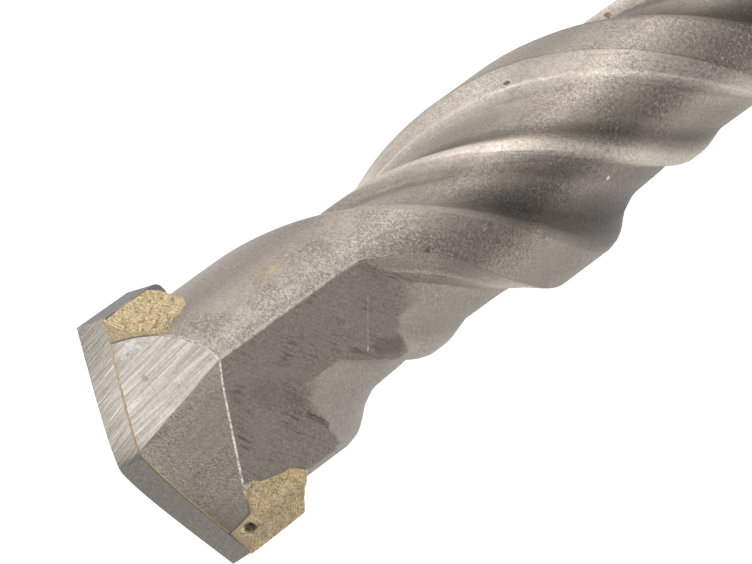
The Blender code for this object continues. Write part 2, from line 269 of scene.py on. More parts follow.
def land_edges(depth):
    """Return the clock angles of a land's two edges: where the helix ends it, or where the head's flat does."""
    start = LAND_END_CLOCK + TURN * depth
    high = later(FLAT_CLOCK - FLAT_HALF, start + between(EDGE_SHIFTS, depth, MM, DEGREE))
    low = later(FLAT_CLOCK + FLAT_HALF, start + HALF_TURN - LAND_ANGLE) - HALF_TURN
    return low, high


def land_shares():
    """Return the shares across a land of its columns, with two that bound the slot."""
    low, high = land_edges(SLOT_DEPTH)
    corner = math.asin(SLOT_HALF_WIDTH / LAND_RADIUS)
    before = (-corner - low) / (high - low)
    after = (corner - low) / (high - low)
    return np.concatenate([
        np.linspace(EDGE_SHARE, before, BEFORE_SLOT, endpoint=False),
        np.linspace(before, after, ACROSS_SLOT, endpoint=False),
        np.linspace(after, 1 - EDGE_SHARE, AFTER_SLOT),
    ])


def zone_shares():
    """Return the shares across a flute or flat of its columns, which are closest on the steep wall."""
    wall = np.linspace(EDGE_SHARE / 2, WALL_SHARE, WALL_COLUMNS, endpoint=False)
    return np.concatenate([wall, np.linspace(WALL_SHARE, 1 - EDGE_SHARE / 2, FLUTE_COLUMNS)])


LAND_SHARES = land_shares()
ZONE_SHARES = zone_shares()
SLOT_FIRST, SLOT_LAST = BEFORE_SLOT, BEFORE_SLOT + ACROSS_SLOT
HALF_COLUMNS = len(LAND_SHARES) + len(ZONE_SHARES)
print(HALF_COLUMNS, "columns in half a turn")

# %% [markdown]
# Where the head's flat ends, the flute takes over. Both are radii over the same columns, so the deeper one wins, and
# the flat is let go over a few millimetres.

# %% Radius between two lands
FLAT_LENGTH = 22.0 * MM
FLAT_RELEASE = 7.0 * MM
MILLED_EDGE = 0.12 * MM
FLUTE_END = LENGTH - 58.5 * MM
RUN_OUT_LENGTH = 14.0 * MM
# The depth at which the milled look begins to fade, and the length that it takes.
MILLED_FADE = (FLAT_LENGTH, 4 * MM)


def cut_radius(clock, angle, depth):
    """Return the radius between two lands, and the share of it that is milled flat.

    The flat's radius is its distance / cos(clock from its middle). On the steep wall's side the flute stays above it.
    """
    flat = FLAT_DISTANCE / np.cos(np.clip(clock - FLAT_CLOCK, -FLAT_HALF, FLAT_HALF))
    flute = flute_radius(angle)
    wall = np.interp(angle, [0, STEEP_WALL_ANGLE], [LAND_RADIUS, FLAT_DISTANCE])
    released = flat + LAND_RADIUS * fade_in(depth, FLAT_LENGTH, FLAT_RELEASE)
    deeper = np.minimum(flute, released)
    by_the_wall = clock < FLAT_CLOCK
    radius = np.where(by_the_wall, np.maximum(np.maximum(wall, flat), deeper), deeper)
    on_flat = np.where(by_the_wall, np.where(wall > flat, 0.0, 1.0), ease((flute - released) / MILLED_EDGE + 0.5))
    return np.minimum(radius, LAND_RADIUS), on_flat * (1 - fade_in(depth, *MILLED_FADE))


def run_out(depth):
    """Return how deep the flutes are cut, from 1 to 0 where they run out near the shank."""
    return ease((FLUTE_END - depth) / RUN_OUT_LENGTH)


print("flutes end", round(FLUTE_END / MM, 1), "mm below the tip")

# %% [markdown]
# The steel isn't one grey. The steep wall and the rib's crest are rubbed, and painted paler still as painted
# highlights, the hollows are painted dark as painted shade, and two sides of the bit carry painted light and shade,
# partly a brown stain. A texture could carry that, but it would need a UV map, so each point of the mesh carries it
# as shares, which the material reads as attributes.

# %% Tone and wear of the body
# Degrees past the land's edge, and the painted light (above 1) and painted shade (below 1) there, then the wear
# there.
FLUTE_LIGHT_AND_SHADE = [
    (0, 1.8), (9, 2.1), (15, 1.4), (28, 1.05), (44, 0.92), (50, 0.60), (56, 0.48), (62, 0.85), (68, 1.5),
    (79, 1.95), (84, 0.95), (92, 0.75), (102, 0.80), (117, 0.42), (128, 0.24), (135, 0.28), (146, 0.80),
]
FLUTE_WEAR = [(0, 0.0), (2, 0.25), (11, 0.25), (15, 0.0), (66, 0.0), (72, 0.22), (81, 0.22), (85, 0.0)]
# Degrees on the clock, and the tone there: painted light above 1, painted shade below 1, which is partly a brown
# stain.
CLOCK_LIGHT_AND_STAIN = [
    (-40, 0.88), (12, 0.84), (30, 0.69), (40, 0.82), (50, 0.92), (60, 1.26), (68, 0.98), (78, 0.67), (88, 0.52),
    (97, 0.47), (105, 0.55), (113, 0.86), (122, 0.98), (140, 0.88),
]
CLOCK_LIGHT_START = 40 * DEGREE
FLAT_TONE = 0.64
EDGE_WEAR = 0.40
FLUTE_SPARKLE = 0.6
HEAD_TONE_SHARE = 0.20
# In each pair a change begins at a depth and takes a length.
TONE_FADE = (26 * MM, 10 * MM)
CLOCK_LIGHT_FADE = (25 * MM, 10 * MM)
EDGE_WEAR_FADE = (20 * MM, 8 * MM)
FLUTE_WEAR_FADE = (28 * MM, 6 * MM)
SPARKLE_FADE = (28 * MM, 8 * MM)
# The same in degrees on the clock, for where the coarse blasting begins and where it ends.
COARSE_FROM = (30, 32)
COARSE_TO = (108, 20)


def on_half(clock):
    """Return the clock's degrees, from -40 to 140, of the same place on the half that the painted light and stains
    are given for.
    """
    return np.degrees(np.mod(clock + CLOCK_LIGHT_START, HALF_TURN) - CLOCK_LIGHT_START)


def coarse(clock):
    """Return how coarsely the steel is blasted over the clock angle."""
    return fade_in(on_half(clock), *COARSE_FROM) * (1 - fade_in(on_half(clock), *COARSE_TO))


def steel_tone(clock, angle, depth, milled):
    """Return how pale the steel is painted between two lands: the flute's painted light and shade times the clock's
    painted light and stain, or the flat's own tone.
    """
    strength = HEAD_TONE_SHARE + (1 - HEAD_TONE_SHARE) * fade_in(depth, *TONE_FADE)
    lit_and_stained = 1 + (between(CLOCK_LIGHT_AND_STAIN, on_half(clock)) - 1) * fade_in(depth, *CLOCK_LIGHT_FADE)
    tone = (1 + (between(FLUTE_LIGHT_AND_SHADE, angle, DEGREE) - 1) * strength * run_out(depth)) * lit_and_stained
    return tone + (FLAT_TONE - tone) * milled


def section(depth):
    """Return clocks, radii and the finish's shares over half a turn of columns at each depth.

    The shares: milled is 1 on the flat, across is the distance over it, around the length along the flute's
    section, tone how pale the steel is painted (mostly painted light and shade), sparkle how coarsely it is blasted
    (which also sets the painted glints), and worn how bright it is rubbed.
    """
    depth = np.maximum(np.atleast_1d(depth), SLOT_DEPTH)[:, None]
    low, high = land_edges(depth)
    land = low + LAND_SHARES * (high - low)
    zone = high + ZONE_SHARES * (low + HALF_TURN - high)
    angle = past_edge(zone, depth)
    radius, milled = cut_radius(zone, angle, depth)
    radius = LAND_RADIUS + (radius - LAND_RADIUS) * run_out(depth)
    edge_wear = EDGE_WEAR * (1 - fade_in(depth, *EDGE_WEAR_FADE))
    flute_wear = between(FLUTE_WEAR, np.degrees(angle)) * fade_in(depth, *FLUTE_WEAR_FADE) * run_out(depth)
    from_flat = np.clip(zone - FLAT_CLOCK, -FLAT_HALF, FLAT_HALF)
    plain = np.zeros_like(land)
    shares = {
        "milled": (plain, milled),
        "across": (plain, FLAT_DISTANCE * np.tan(from_flat)),
        "around": (plain, LAND_RADIUS * angle),
        # The land's tone is the clock's painted light and shade, partly a brown stain.
        "tone": (between(CLOCK_LIGHT_AND_STAIN, on_half(land)), steel_tone(zone, angle, depth, milled)),
        "sparkle": (coarse(land), FLUTE_SPARKLE * fade_in(depth, *SPARKLE_FADE) * coarse(zone)),
        "worn": (edge_wear * (LAND_SHARES > 1 - 1.5 * EDGE_SHARE),
                 np.maximum(edge_wear * (ZONE_SHARES < EDGE_SHARE), flute_wear)),
    }
    clocks = np.concatenate([land, zone], axis=1)
    radii = np.concatenate([np.full_like(land, LAND_RADIUS), radius], axis=1)
    return clocks, radii, {name: np.concatenate(pair, axis=1) for name, pair in shares.items()}


def full_turn(half_clocks, half_radii, shares):
    """Return the columns of the whole turn: the half, the half again opposite, and the first column once more."""
    clocks = np.concatenate([half_clocks, half_clocks + HALF_TURN, half_clocks[:, :1] + 2 * HALF_TURN], axis=1)

    def twice(value):
        """Return the half's values for the whole turn."""
        return np.concatenate([value, value, value[:, :1]], axis=1)

    return clocks, twice(half_radii), {name: twice(value) for name, value in shares.items()}


print("tone goes from", round(min(pair[1] for pair in FLUTE_LIGHT_AND_SHADE), 2), "to", max(pair[1] for pair in FLUTE_LIGHT_AND_SHADE))

# %% [markdown]
# The carbide plate is pressed and ground: a roof-shaped crown with a flank on each side of a blunt chisel edge,
# relieved behind its cutting edges, and two narrow ends that wear on the hole's wall. A bevelled box would be close,
# but its flanks would be flat, while these are bowed by the wheel. So the plate is six grids that share their edges.

# %% Carbide plate
CROWN_SLOPE = 0.405
CROWN_RELIEF = 0.055
SOFT_NOSE = 1.30 * MM
SHARP_NOSE = 0.10 * MM
CHISEL_MIDDLE = 0.10 * MM
CHISEL_SKEW = 0.20 * MM
HEEL_CHANGE = 0.5 * MM
PLATE_HEIGHT = 9.4 * MM
FOOT_ROUND = 0.8 * MM
BACK_TAPER = 0.08 * MM
CROWN_REACH = CUTTING_RADIUS - 0.2 * MM
RIGHT_REACH = (9.50 * MM, 9.80 * MM)
LEFT_REACH = (9.80 * MM, 10.10 * MM)
SIDE_CHANGE = 40
JUST_LEFT = -0.001
PLATE_COLUMNS, PLATE_LAYERS, PLATE_ROWS = 121, 25, 49
UPPER_FLANK, LOWER_FLANK, MARGIN = range(3)


def crown_depth(x, y):
    """Return the crown's depth: slope times distance from the chisel edge, more on the heel.

    The mean of a softly and a sharply rounded roof gives bowed flanks that still meet in an edge.
    """
    from_chisel = x - CHISEL_MIDDLE + CHISEL_SKEW * y / HALF_PLATE
    heel = (HALF_PLATE - y * np.tanh(from_chisel / HEEL_CHANGE)) / (2 * HALF_PLATE)
    fall = (CROWN_SLOPE + CROWN_RELIEF * heel) * from_chisel
    return (np.hypot(fall, SOFT_NOSE) - SOFT_NOSE + np.hypot(fall, SHARP_NOSE) - SHARP_NOSE) / 2


def plate_reach(side, y, depth):
    """Return how far the plate's end stands from the axis, from its near to its far edge, tapered to the foot."""
    far_share = (y + HALF_PLATE) / (2 * HALF_PLATE)
    right, left = (near + far_share * (far - near) for near, far in (RIGHT_REACH, LEFT_REACH))
    reach = left + (right - left) * (1 + side) / 2
    taper = BACK_TAPER * depth / PLATE_HEIGHT
    foot = np.clip(depth - (PLATE_HEIGHT - FOOT_ROUND), 0, FOOT_ROUND)
    corner = FOOT_ROUND - np.sqrt(FOOT_ROUND ** 2 - foot ** 2)
    return reach - taper - corner


def plate_surface(share, y, fall):
    """Return points: x is the share of the reach at its depth, and the depth falls from the crown to the foot."""
    share, y, fall = np.broadcast_arrays(share, y, fall)
    side = np.tanh(share * SIDE_CHANGE)
    crown = crown_depth(share * CROWN_REACH, y)
    depth = crown + fall * (PLATE_HEIGHT - crown)
    return np.stack([share * plate_reach(side, y, depth), y, LENGTH - depth], axis=-1)


def plate_patches():
    """Return the six faces of the plate: its crown, foot, near and far sides and two ends."""
    across = np.linspace(-1, 1, PLATE_COLUMNS)[:, None]
    thick = np.linspace(-HALF_PLATE, HALF_PLATE, PLATE_LAYERS)
    down = np.linspace(0, 1, PLATE_ROWS)[None, :]
    crown, foot = (plate_surface(across, thick[None, :], fall) for fall in (0.0, 1.0))
    sides = [plate_surface(across, y, down) for y in (-HALF_PLATE, HALF_PLATE)]
    ends = [plate_surface(share, thick[:, None], down) for share in (-1.0, 1.0)]
    flank = np.where(across[:-1] < JUST_LEFT, LOWER_FLANK, UPPER_FLANK)
    return [patch(crown, flank)] + [patch(face, MARGIN) for face in [foot] + sides + ends]


print("crown falls", round(crown_depth(CROWN_REACH, -HALF_PLATE) / MM, 2), "mm from the tip to the plate's end")

# %% [markdown]
# The tip of the steel is ground on both sides of the plate into two cheeks, a pale one and a dark one, which meet
# in a ridge. Two planes cut with a boolean would leave a gap at the bowed plate, so each cheek is a fan of points
# from the place where the ridge meets the plate, out to the rim, and bends to the crown at the seam. The side of the
# head starts a hair below the rim, and the strip between them is the worn edge.

# %% Cheeks
BODY_STEEL, PALE_CHEEK, DARK_CHEEK, SHANK_STEEL = range(4)
RIDGE_START = 0.55 * MM
RIDGE_REACH = 1.2 * MM
PALE_START = -0.84 * MM
PALE_SLANT = 0.444
PALE_RISE = 0.929
DARK_START = 0.26 * MM
DARK_SLANT = -0.267
DARK_RISE = 1.074
SEAM_STEP = 0.03 * MM
SEAM_REACH = 1.0 * MM
RIM_CHAMFER = 0.06 * MM
FAR_SINK = 0.30 * MM
FAN_SHARES = np.concatenate([[0.0, 0.02, 0.05], np.linspace(0.09, 0.965, 22), [0.984, 0.991]])
SIDE_SHARES = np.linspace(0, 1, 30) ** 1.15
# Degrees on the clock, and wear of the rim there.
RIM_WEAR = [(28, 0.1), (40, 0.4), (60, 0.5), (66, 0.9), (70, 1.1), (145, 1.1), (152, 0.0)]


def rim_depths(x, y, ridge):
    """Return the rim's depths at x along the plate and y away from its middle; the ridge is at one column.

    Each side is start + slant * x + rise * y, and the dark one bends to meet the pale one at the ridge.
    """
    away = y - SLOT_HALF_WIDTH
    pale = PALE_START + PALE_SLANT * x + PALE_RISE * away
    dark = DARK_START + DARK_SLANT * x + DARK_RISE * away
    from_ridge = np.hypot(x - x[ridge], y - y[ridge])
    dark = dark + (pale[ridge] - dark[ridge]) * np.exp(-from_ridge / RIDGE_REACH)
    return np.where(np.arange(len(x)) <= ridge, pale, dark)


def flush(x, y, straight):
    """Return what bends a cheek to the plate's bowed crown at the seam, where the two were ground together.

    The seam's straight course is given by its two ends and its middle, as pairs of x and depth.
    """
    gap = crown_depth(x, -HALF_PLATE) + SEAM_STEP - between(straight, x)
    return gap * np.exp(-(y - SLOT_HALF_WIDTH) / SEAM_REACH)


def slot_wall(rim_x, rim_depth, sink):
    """Return the slot's wall, from the fan's points along the plate down to the slot's floor, and its upper edge."""
    far_seam = RIDGE_START + FAN_SHARES[::-1] * (rim_x[-1] - RIDGE_START)
    near_seam = RIDGE_START + FAN_SHARES[1:] * (rim_x[0] - RIDGE_START)
    seam_x = np.concatenate([far_seam, near_seam])
    top = crown_depth(seam_x, -HALF_PLATE) + SEAM_STEP + sink
    seam_x = np.concatenate([[rim_x[-1]], seam_x, [rim_x[0]]])
    top = np.concatenate([rim_depth[-1:], top, rim_depth[:1]])
    depth = top + SIDE_SHARES[:, None] * (SLOT_DEPTH - top)
    x = np.broadcast_to(seam_x, depth.shape)
    wall = patch(np.stack([x, np.full_like(x, -SLOT_HALF_WIDTH), LENGTH - depth], axis=-1), BODY_STEEL)
    return wall, seam_x, top


def head_patches(sink=0.0):
    """Return one side of the head, lower by sink: its cheeks and side, the slot's wall, and the wall's upper edge.

    A fan point is start + share * (rim - start), and a side point goes down from the rim's depth to the slot's.
    """
    columns = np.arange(SLOT_LAST, HALF_COLUMNS + SLOT_FIRST + 1)
    clocks, radii, shares = full_turn(*section(SLOT_DEPTH))
    clock, radius = clocks[0, columns], radii[0, columns]
    rim_x, rim_y = radius * np.cos(clock), radius * np.sin(clock)
    ridge = len(LAND_SHARES) - 1 - SLOT_LAST
    x = RIDGE_START + FAN_SHARES[:, None] * (rim_x - RIDGE_START)
    y = SLOT_HALF_WIDTH + FAN_SHARES[:, None] * (rim_y - SLOT_HALF_WIDTH)
    rim_depth = rim_depths(rim_x, rim_y, ridge)
    start_depth = crown_depth(RIDGE_START, -HALF_PLATE)
    straight = ((rim_x[-1], rim_depth[-1]), (RIDGE_START, start_depth), (rim_x[0], rim_depth[0]))
    fan_depth = start_depth + FAN_SHARES[:, None] * (rim_depth - start_depth) + flush(x, y, straight) + sink
    rim_depth = rim_depth + flush(rim_x, rim_y, straight) + RIM_CHAMFER + sink
    side_depth = rim_depth + SIDE_SHARES[:, None] * (SLOT_DEPTH - rim_depth)
    depth = np.concatenate([fan_depth, side_depth])
    x = np.concatenate([x, np.broadcast_to(rim_x, side_depth.shape)])
    y = np.concatenate([y, np.broadcast_to(rim_y, side_depth.shape)])
    fan_rows = len(FAN_SHARES)
    rows = np.arange(len(depth))[:, None]
    beside_rim = np.abs(rows - fan_rows + 0.5) < 1
    on_side = {name: np.where(rows >= fan_rows - 1, value[0, columns], 0.0) for name, value in shares.items()}
    on_side["worn"] = np.maximum(on_side["worn"], np.where(beside_rim, between(RIM_WEAR, np.degrees(clock)), 0.0))
    cheek = np.where((np.arange(len(columns) - 1) < ridge), PALE_CHEEK, DARK_CHEEK)
    finish = np.where(rows[:-1] < fan_rows - 1, cheek, BODY_STEEL)
    side = patch(np.stack([x, -y, LENGTH - depth], axis=-1), finish, **on_side)
    return side, *slot_wall(rim_x, rim_depth, sink)


def slot_floor(seam_x):
    """Return the slot's floor: its columns go over from one wall's to the other's, which are turned by half."""
    clocks = section(SLOT_DEPTH)[0]
    y = LAND_RADIUS * np.sin(clocks[0, SLOT_FIRST:SLOT_LAST + 1])[:, None]
    near_share = (y - y[0]) / (y[-1] - y[0])
    share = (near_share * seam_x - (1 - near_share) * seam_x[::-1]) / seam_x[-1]
    x = share * np.sqrt(LAND_RADIUS ** 2 - y ** 2)
    y = np.broadcast_to(y, x.shape)
    return patch(np.stack([x, -y, np.full_like(x, LENGTH - SLOT_DEPTH)], axis=-1), BODY_STEEL)


print("cheeks have", len(FAN_SHARES), "rows and the head's side", len(SIDE_SHARES))

# %% [markdown]
# Below the slot the body is one long tube of rows. The flutes run out near the shank, and a plain collar, a
# shoulder and the 10 mm shank follow. Those are not in the picture, so they take the standard form. They could be a
# second piece, but as more rows of the same tube they need no seam.

# %% Body below the slot
FINE_DEPTH = 42 * MM
FINE_STEP = 0.30 * MM
COARSE_ROWS = 110
COLLAR_RADIUS = 7.8 * MM
SHANK_RADIUS = 5.0 * MM
COLLAR_TOP = 54.5 * MM
COLLAR_BOTTOM = 50.5 * MM
SHANK_TOP = 46.0 * MM
EDGE_ROUND = 0.25 * MM
# Radius and height of the turned rows: the collar, the shoulder, and the shank's top, closed at the axis.
TURNED = [
    (LAND_RADIUS - 0.12 * MM, COLLAR_TOP), (COLLAR_RADIUS, COLLAR_TOP - 0.1 * MM),
    (COLLAR_RADIUS, (COLLAR_TOP + COLLAR_BOTTOM) / 2), (COLLAR_RADIUS, COLLAR_BOTTOM + EDGE_ROUND),
    (COLLAR_RADIUS - 0.5 * EDGE_ROUND, COLLAR_BOTTOM), (SHANK_RADIUS + 0.6 * MM, SHANK_TOP + 0.9 * MM),
    (SHANK_RADIUS + 0.12 * MM, SHANK_TOP + 0.25 * MM), (SHANK_RADIUS - 0.02 * MM, SHANK_TOP), (0.0, SHANK_TOP),
]


def body_rows():
    """Return the depths of the fluted rows, fine near the tip."""
    fine = np.arange(SLOT_DEPTH, FINE_DEPTH, FINE_STEP)
    return np.concatenate([fine, np.linspace(FINE_DEPTH, LENGTH - COLLAR_TOP - EDGE_ROUND, COARSE_ROWS)])


def body_tube():
    """Return the fluted tube and the turned collar and shoulder below it, down to the shank's top."""
    depth = body_rows()
    clocks, radii, shares = full_turn(*section(depth))
    points = place(clocks, radii, depth[:, None])
    radius, height = np.array(TURNED).T
    turned = place(clocks[-1], radius[:, None], LENGTH - height[:, None])
    plain = {name: np.full(turned.shape[:2], 1.0 if name == "tone" else 0.0) for name in shares}
    shares = {name: np.concatenate([value, plain[name]]) for name, value in shares.items()}
    return patch(np.concatenate([points, turned]), BODY_STEEL, **shares)


print(len(body_rows()), "fluted rows")

# %% [markdown]
# The shank has two open drive slots, cut with a disc that leaves a curved run-out, and two closed grooves for the
# chuck's locking balls. Booleans would cut them, but leave uneven faces, so a ring of the grid follows the slot's
# floor and walls, and the walls stay upright. Where there is no slot, those columns fall together on the round and
# are merged away.

# %% Shank
SLOT_FLOOR = 3.5 * MM
SLOT_HALF = 2.0 * MM
SLOT_STRAIGHT = 25 * MM
SLOT_DISC_RADIUS = 12 * MM
GROOVE_RADIUS = 2.75 * MM
GROOVE_DEPTH = 1.6 * MM
GROOVE_START = 10.5 * MM
GROOVE_LENGTH = 16.5 * MM
SHANK_CHAMFER = 0.8 * MM
SHANK_STEP = 0.5 * MM
END_ROWS, FLOOR_COLUMNS, ROUND_COLUMNS = 12, 7, 20


def shank_rows():
    """Return heights and outer radii of the shank's rows, which are closer together at the groove's ends."""
    low_end = GROOVE_START + np.linspace(0.1, GROOVE_RADIUS / MM, END_ROWS) * MM
    high_end = 2 * GROOVE_START + GROOVE_LENGTH - low_end
    even = np.arange(SHANK_CHAMFER, SHANK_TOP, SHANK_STEP)
    heights = np.unique(np.concatenate([[0.0, SHANK_CHAMFER * 0.5], even, low_end, high_end, [SHANK_TOP]]))
    return heights, np.minimum(SHANK_RADIUS, SHANK_RADIUS - SHANK_CHAMFER + heights)


def groove_radius(height, angle, radius):
    """Return the round's radius with the closed groove in it, which a ball of the groove's radius leaves."""
    low = GROOVE_START + GROOVE_RADIUS
    high = GROOVE_START + GROOVE_LENGTH - GROOVE_RADIUS
    past = np.maximum(np.maximum(low - height, height - high), 0)
    ball = np.sqrt(np.maximum(GROOVE_RADIUS ** 2 - past ** 2, 0))
    centre = SHANK_RADIUS - GROOVE_DEPTH + GROOVE_RADIUS
    reach = ball ** 2 - (centre * np.cos(angle)) ** 2
    hollow = np.where(reach > 0, centre * np.sin(angle) - np.sqrt(np.maximum(reach, 0)), radius)
    return np.minimum(radius, hollow)


def shank_ring(height, radius):
    """Return x and y of a quarter ring per row: slot floor, slot wall, then the round with the groove's hollow."""
    height, radius = height[:, None], radius[:, None]
    rise = np.maximum(height - SLOT_STRAIGHT, 0)
    floor = SLOT_FLOOR + SLOT_DISC_RADIUS - np.sqrt(np.maximum(SLOT_DISC_RADIUS ** 2 - rise ** 2, 0))
    floor = np.where(rise < SLOT_DISC_RADIUS, floor, 2 * SHANK_RADIUS)
    floor_y = np.linspace(0, SLOT_HALF, FLOOR_COLUMNS)[None, :]
    floor_x = np.minimum(floor, np.sqrt(radius ** 2 - floor_y ** 2))
    edge_x = np.sqrt(radius ** 2 - SLOT_HALF ** 2)
    wall_x = floor_x[:, -1:] + np.array([0.5, 1.0])[None, :] * (edge_x - floor_x[:, -1:])
    start = np.arcsin(SLOT_HALF / radius)
    angle = start + np.linspace(0, 1, ROUND_COLUMNS)[None, 1:] * (math.pi / 2 - start)
    around = groove_radius(height, angle, radius)
    x = np.concatenate([floor_x, wall_x, around * np.cos(angle)], axis=1)
    floor_y = np.broadcast_to(floor_y, floor_x.shape)
    y = np.concatenate([floor_y, np.full_like(wall_x, SLOT_HALF), around * np.sin(angle)], axis=1)
    return x, y


def shank_patches():
    """Return the shank as one tube closed at both ends: the quarter ring four times over."""
    heights, radii = shank_rows()
    x, y = shank_ring(heights, radii)
    half_x = np.concatenate([x, -x[:, -2::-1]], axis=1)
    half_y = np.concatenate([y, y[:, -2::-1]], axis=1)
    whole_x = np.concatenate([half_x, -half_x[:, 1:]], axis=1)
    whole_y = np.concatenate([half_y, -half_y[:, 1:]], axis=1)
    tube = np.stack([whole_x, whole_y, np.broadcast_to(heights[:, None], whole_x.shape)], axis=-1)
    on_axis = np.array([0.0, 0.0, 1.0])
    return [patch(np.concatenate([tube[:1] * on_axis, tube, tube[-1:] * on_axis]), SHANK_STEEL)]


print(len(shank_rows()[0]), "rows in the shank")

# %% [markdown]
# Golden braze holds the plate. It shows as a thin line along both sides of the plate, and as rough lumps in the
# corners between the plate's ends and the steel. A remeshed blob with a displacement would be rough too, but would
# hardly meet the seam and the ground cheeks, so each lump is six grids. They reach from the plate's face out to the
# steel, and a sum of small ripples gives the grain.

# %% One lump of braze
LUMP_COLUMNS, LUMP_ROWS, LUMP_LAYERS = 64, 90, 14
LUMP_SKIN = 0.10 * MM
LUMP_DIP = 0.1 * MM
LUMP_BURIED = 0.45 * MM
LUMP_SINK = 0.25 * MM
COARSE_GRAIN = 0.055 * MM
COARSE_GRAIN_SIZE = 0.85 * MM
FINE_GRAIN = 0.026 * MM
FINE_GRAIN_SIZE = 0.34 * MM
# Shares of a lump over which its skin, its tail, its grain, its way outward and its pit come in.
SIDE_EASE = 0.12
END_EASE = 0.10
TAIL_EASE = 0.22
GRAIN_EASE = 0.04
OUTWARD_EASE = 0.1
PIT_EASE = 0.15
PIT_PLACE = (-8.20 * MM, 2.55 * MM)
PIT_RADIUS = 0.30 * MM
PIT_DEPTH = 0.55 * MM


def lump_point(t, v, k, base, outward, reach, hollow, front, back, seed, pit):
    """Return points of a lump's volume, at across t, down v and inward k, as x, y and depth.

    The outer face stands off the base by reach at the plate's face, and falls away as (1 - t) ** hollow.
    """
    t, v, k = np.broadcast_arrays(t, v, k)
    x, y = base(t)
    way_x, way_y = outward(t)
    depth = front(x, y) + v * (back(t) - front(x, y))
    rough_place = np.stack([x, y, depth], axis=-1)
    edge = ease((1 - t) / SIDE_EASE) * ease((1 - v) / END_EASE)
    height = reach(depth) * (1 - t) ** hollow * ease((1 - v) / TAIL_EASE) + (LUMP_SKIN + LUMP_DIP) * edge - LUMP_DIP
    grain = COARSE_GRAIN * ripples(rough_place, COARSE_GRAIN_SIZE, seed)
    grain = grain + FINE_GRAIN * ripples(rough_place, FINE_GRAIN_SIZE, seed + 1)
    height = height + grain * ease(v / GRAIN_EASE) * edge * ease(t / GRAIN_EASE)
    height = height * (1 - k) - LUMP_BURIED * k
    x = x + height * way_x
    y = y + height * way_y * ease(t / OUTWARD_EASE)
    depth = front(x, y) + v * (back(t) - front(x, y)) + LUMP_SINK * k * (1 - v)
    if pit:
        from_pit = np.hypot(x - PIT_PLACE[0], y - PIT_PLACE[1]) / PIT_RADIUS
        depth = depth + PIT_DEPTH * np.exp(-from_pit ** 4) * (1 - ease(v / PIT_EASE))
    return np.stack([x, -y, LENGTH - depth], axis=-1)


def lump(**form):
    """Return the six faces of a lump of the given form. Its front face was ground with the cheek, and its ground
    share lightens it, partly as ground braze and partly as painted light.
    """
    across = np.linspace(0, 1, LUMP_COLUMNS)[:, None]
    down = np.linspace(0, 1, LUMP_ROWS)
    inward = np.linspace(0, 1, LUMP_LAYERS)[None, :]
    # The front face's ground share lightens its colour: ground braze, and painted light as well.
    front = patch(lump_point(across, 0.0, inward, **form), ground=1.0)
    faces = [lump_point(across, down[None, :], side, **form) for side in (0.0, 1.0)]
    faces.append(lump_point(across, 1.0, inward, **form))
    faces += [lump_point(end, down[:, None], inward, **form) for end in (0.0, 1.0)]
    return [front] + [patch(face) for face in faces]


print("a lump has grains of about", FINE_GRAIN_SIZE / MM, "and", COARSE_GRAIN_SIZE / MM, "mm")

# %% [markdown]
# The upper lump is a wide tongue that froze over the land behind the pale cheek. The lower one fills the corner
# between the plate and the flat, behind the dark cheek. Both end in uneven tails, so each has a list of tail depths
# across it, and both were ground off with the cheeks in front. The far pair lies lower and stands off less.

# %% The two lumps and the seam's strip
FRONT_DROP = 0.05 * MM
LUMP_START = HALF_PLATE - 0.05 * MM
BASE_SINK = 0.02 * MM
REACH_PER_SINK = 1.2
UPPER_FIRST = math.asin(LUMP_START / LAND_RADIUS)
UPPER_LAST = 38 * DEGREE
UPPER_HOLLOW = 3.2
UPPER_SPREAD = 0.25
LOWER_FIRST = HALF_TURN - UPPER_FIRST
LOWER_CORNER = FLAT_CLOCK + FLAT_HALF
LOWER_CORNER_X = LAND_RADIUS * math.cos(LOWER_CORNER)
LOWER_LAST_X = -5.2 * MM
LOWER_BEND = 0.34
LOWER_HOLLOW = 3.0
LOWER_TURN, LOWER_SPREAD = 0.6, 0.9
INTO_PLATE = 0.03 * MM
INTO_STEEL = 0.05 * MM
STRIP_SHARE = 0.995
# Degrees on the clock, and the tail's depth in mm. Then depth, and how far the lump stands off there, both in mm.
UPPER_TAILS = [(10, 9.98), (20, 9.92), (26, 9.0), (30, 7.8), (31.5, 6.3), (36, 5.7), (38, 5.3)]
UPPER_REACHES = [(3.0, 1.48), (5.0, 1.56), (7.8, 1.50), (9.0, 1.05), (9.9, 0.2)]
# The share across the lump, and the tail's depth in mm. Then depth and distance as above.
LOWER_TAILS = [(0, 10.8), (0.34, 10.6), (0.5, 9.8), (0.62, 9.1), (0.68, 7.5), (0.8, 5.9), (1.0, 4.9)]
LOWER_REACHES = [(3.0, 1.95), (6.0, 1.92), (8.0, 1.88), (9.4, 1.85), (10.7, 0.4)]


def land_base(t):
    """Return x and y (away from the plate's middle) on the land, at clocks from the plate's face to the last."""
    clock = UPPER_FIRST + t * (UPPER_LAST - UPPER_FIRST)
    return (LAND_RADIUS - BASE_SINK) * np.cos(clock), (LAND_RADIUS - BASE_SINK) * np.sin(clock)


def flat_base(t):
    """Return x and y on the land's narrow strip beside the plate and then on the flat."""
    clock = LOWER_FIRST + np.clip(t / LOWER_BEND, 0, 1) * (LOWER_CORNER - LOWER_FIRST)
    beyond = LOWER_CORNER_X + (LOWER_LAST_X - LOWER_CORNER_X) * (t - LOWER_BEND) / (1 - LOWER_BEND)
    x = np.where(t < LOWER_BEND, LAND_RADIUS * np.cos(clock), beyond)
    on_flat = (FLAT_DISTANCE - x * math.cos(FLAT_CLOCK)) / math.sin(FLAT_CLOCK)
    return x, np.where(t < LOWER_BEND, LAND_RADIUS * np.sin(clock), on_flat) - BASE_SINK


def ground_front(x, y, at_seam, rise):
    """Return the depth of a cheek's plane, bent to the crown at the seam as the cheek is."""
    away = y - SLOT_HALF_WIDTH
    gap = np.maximum(crown_depth(x, -HALF_PLATE) - at_seam, 0)
    return at_seam + rise * away + gap * np.exp(-away / SEAM_REACH) + FRONT_DROP


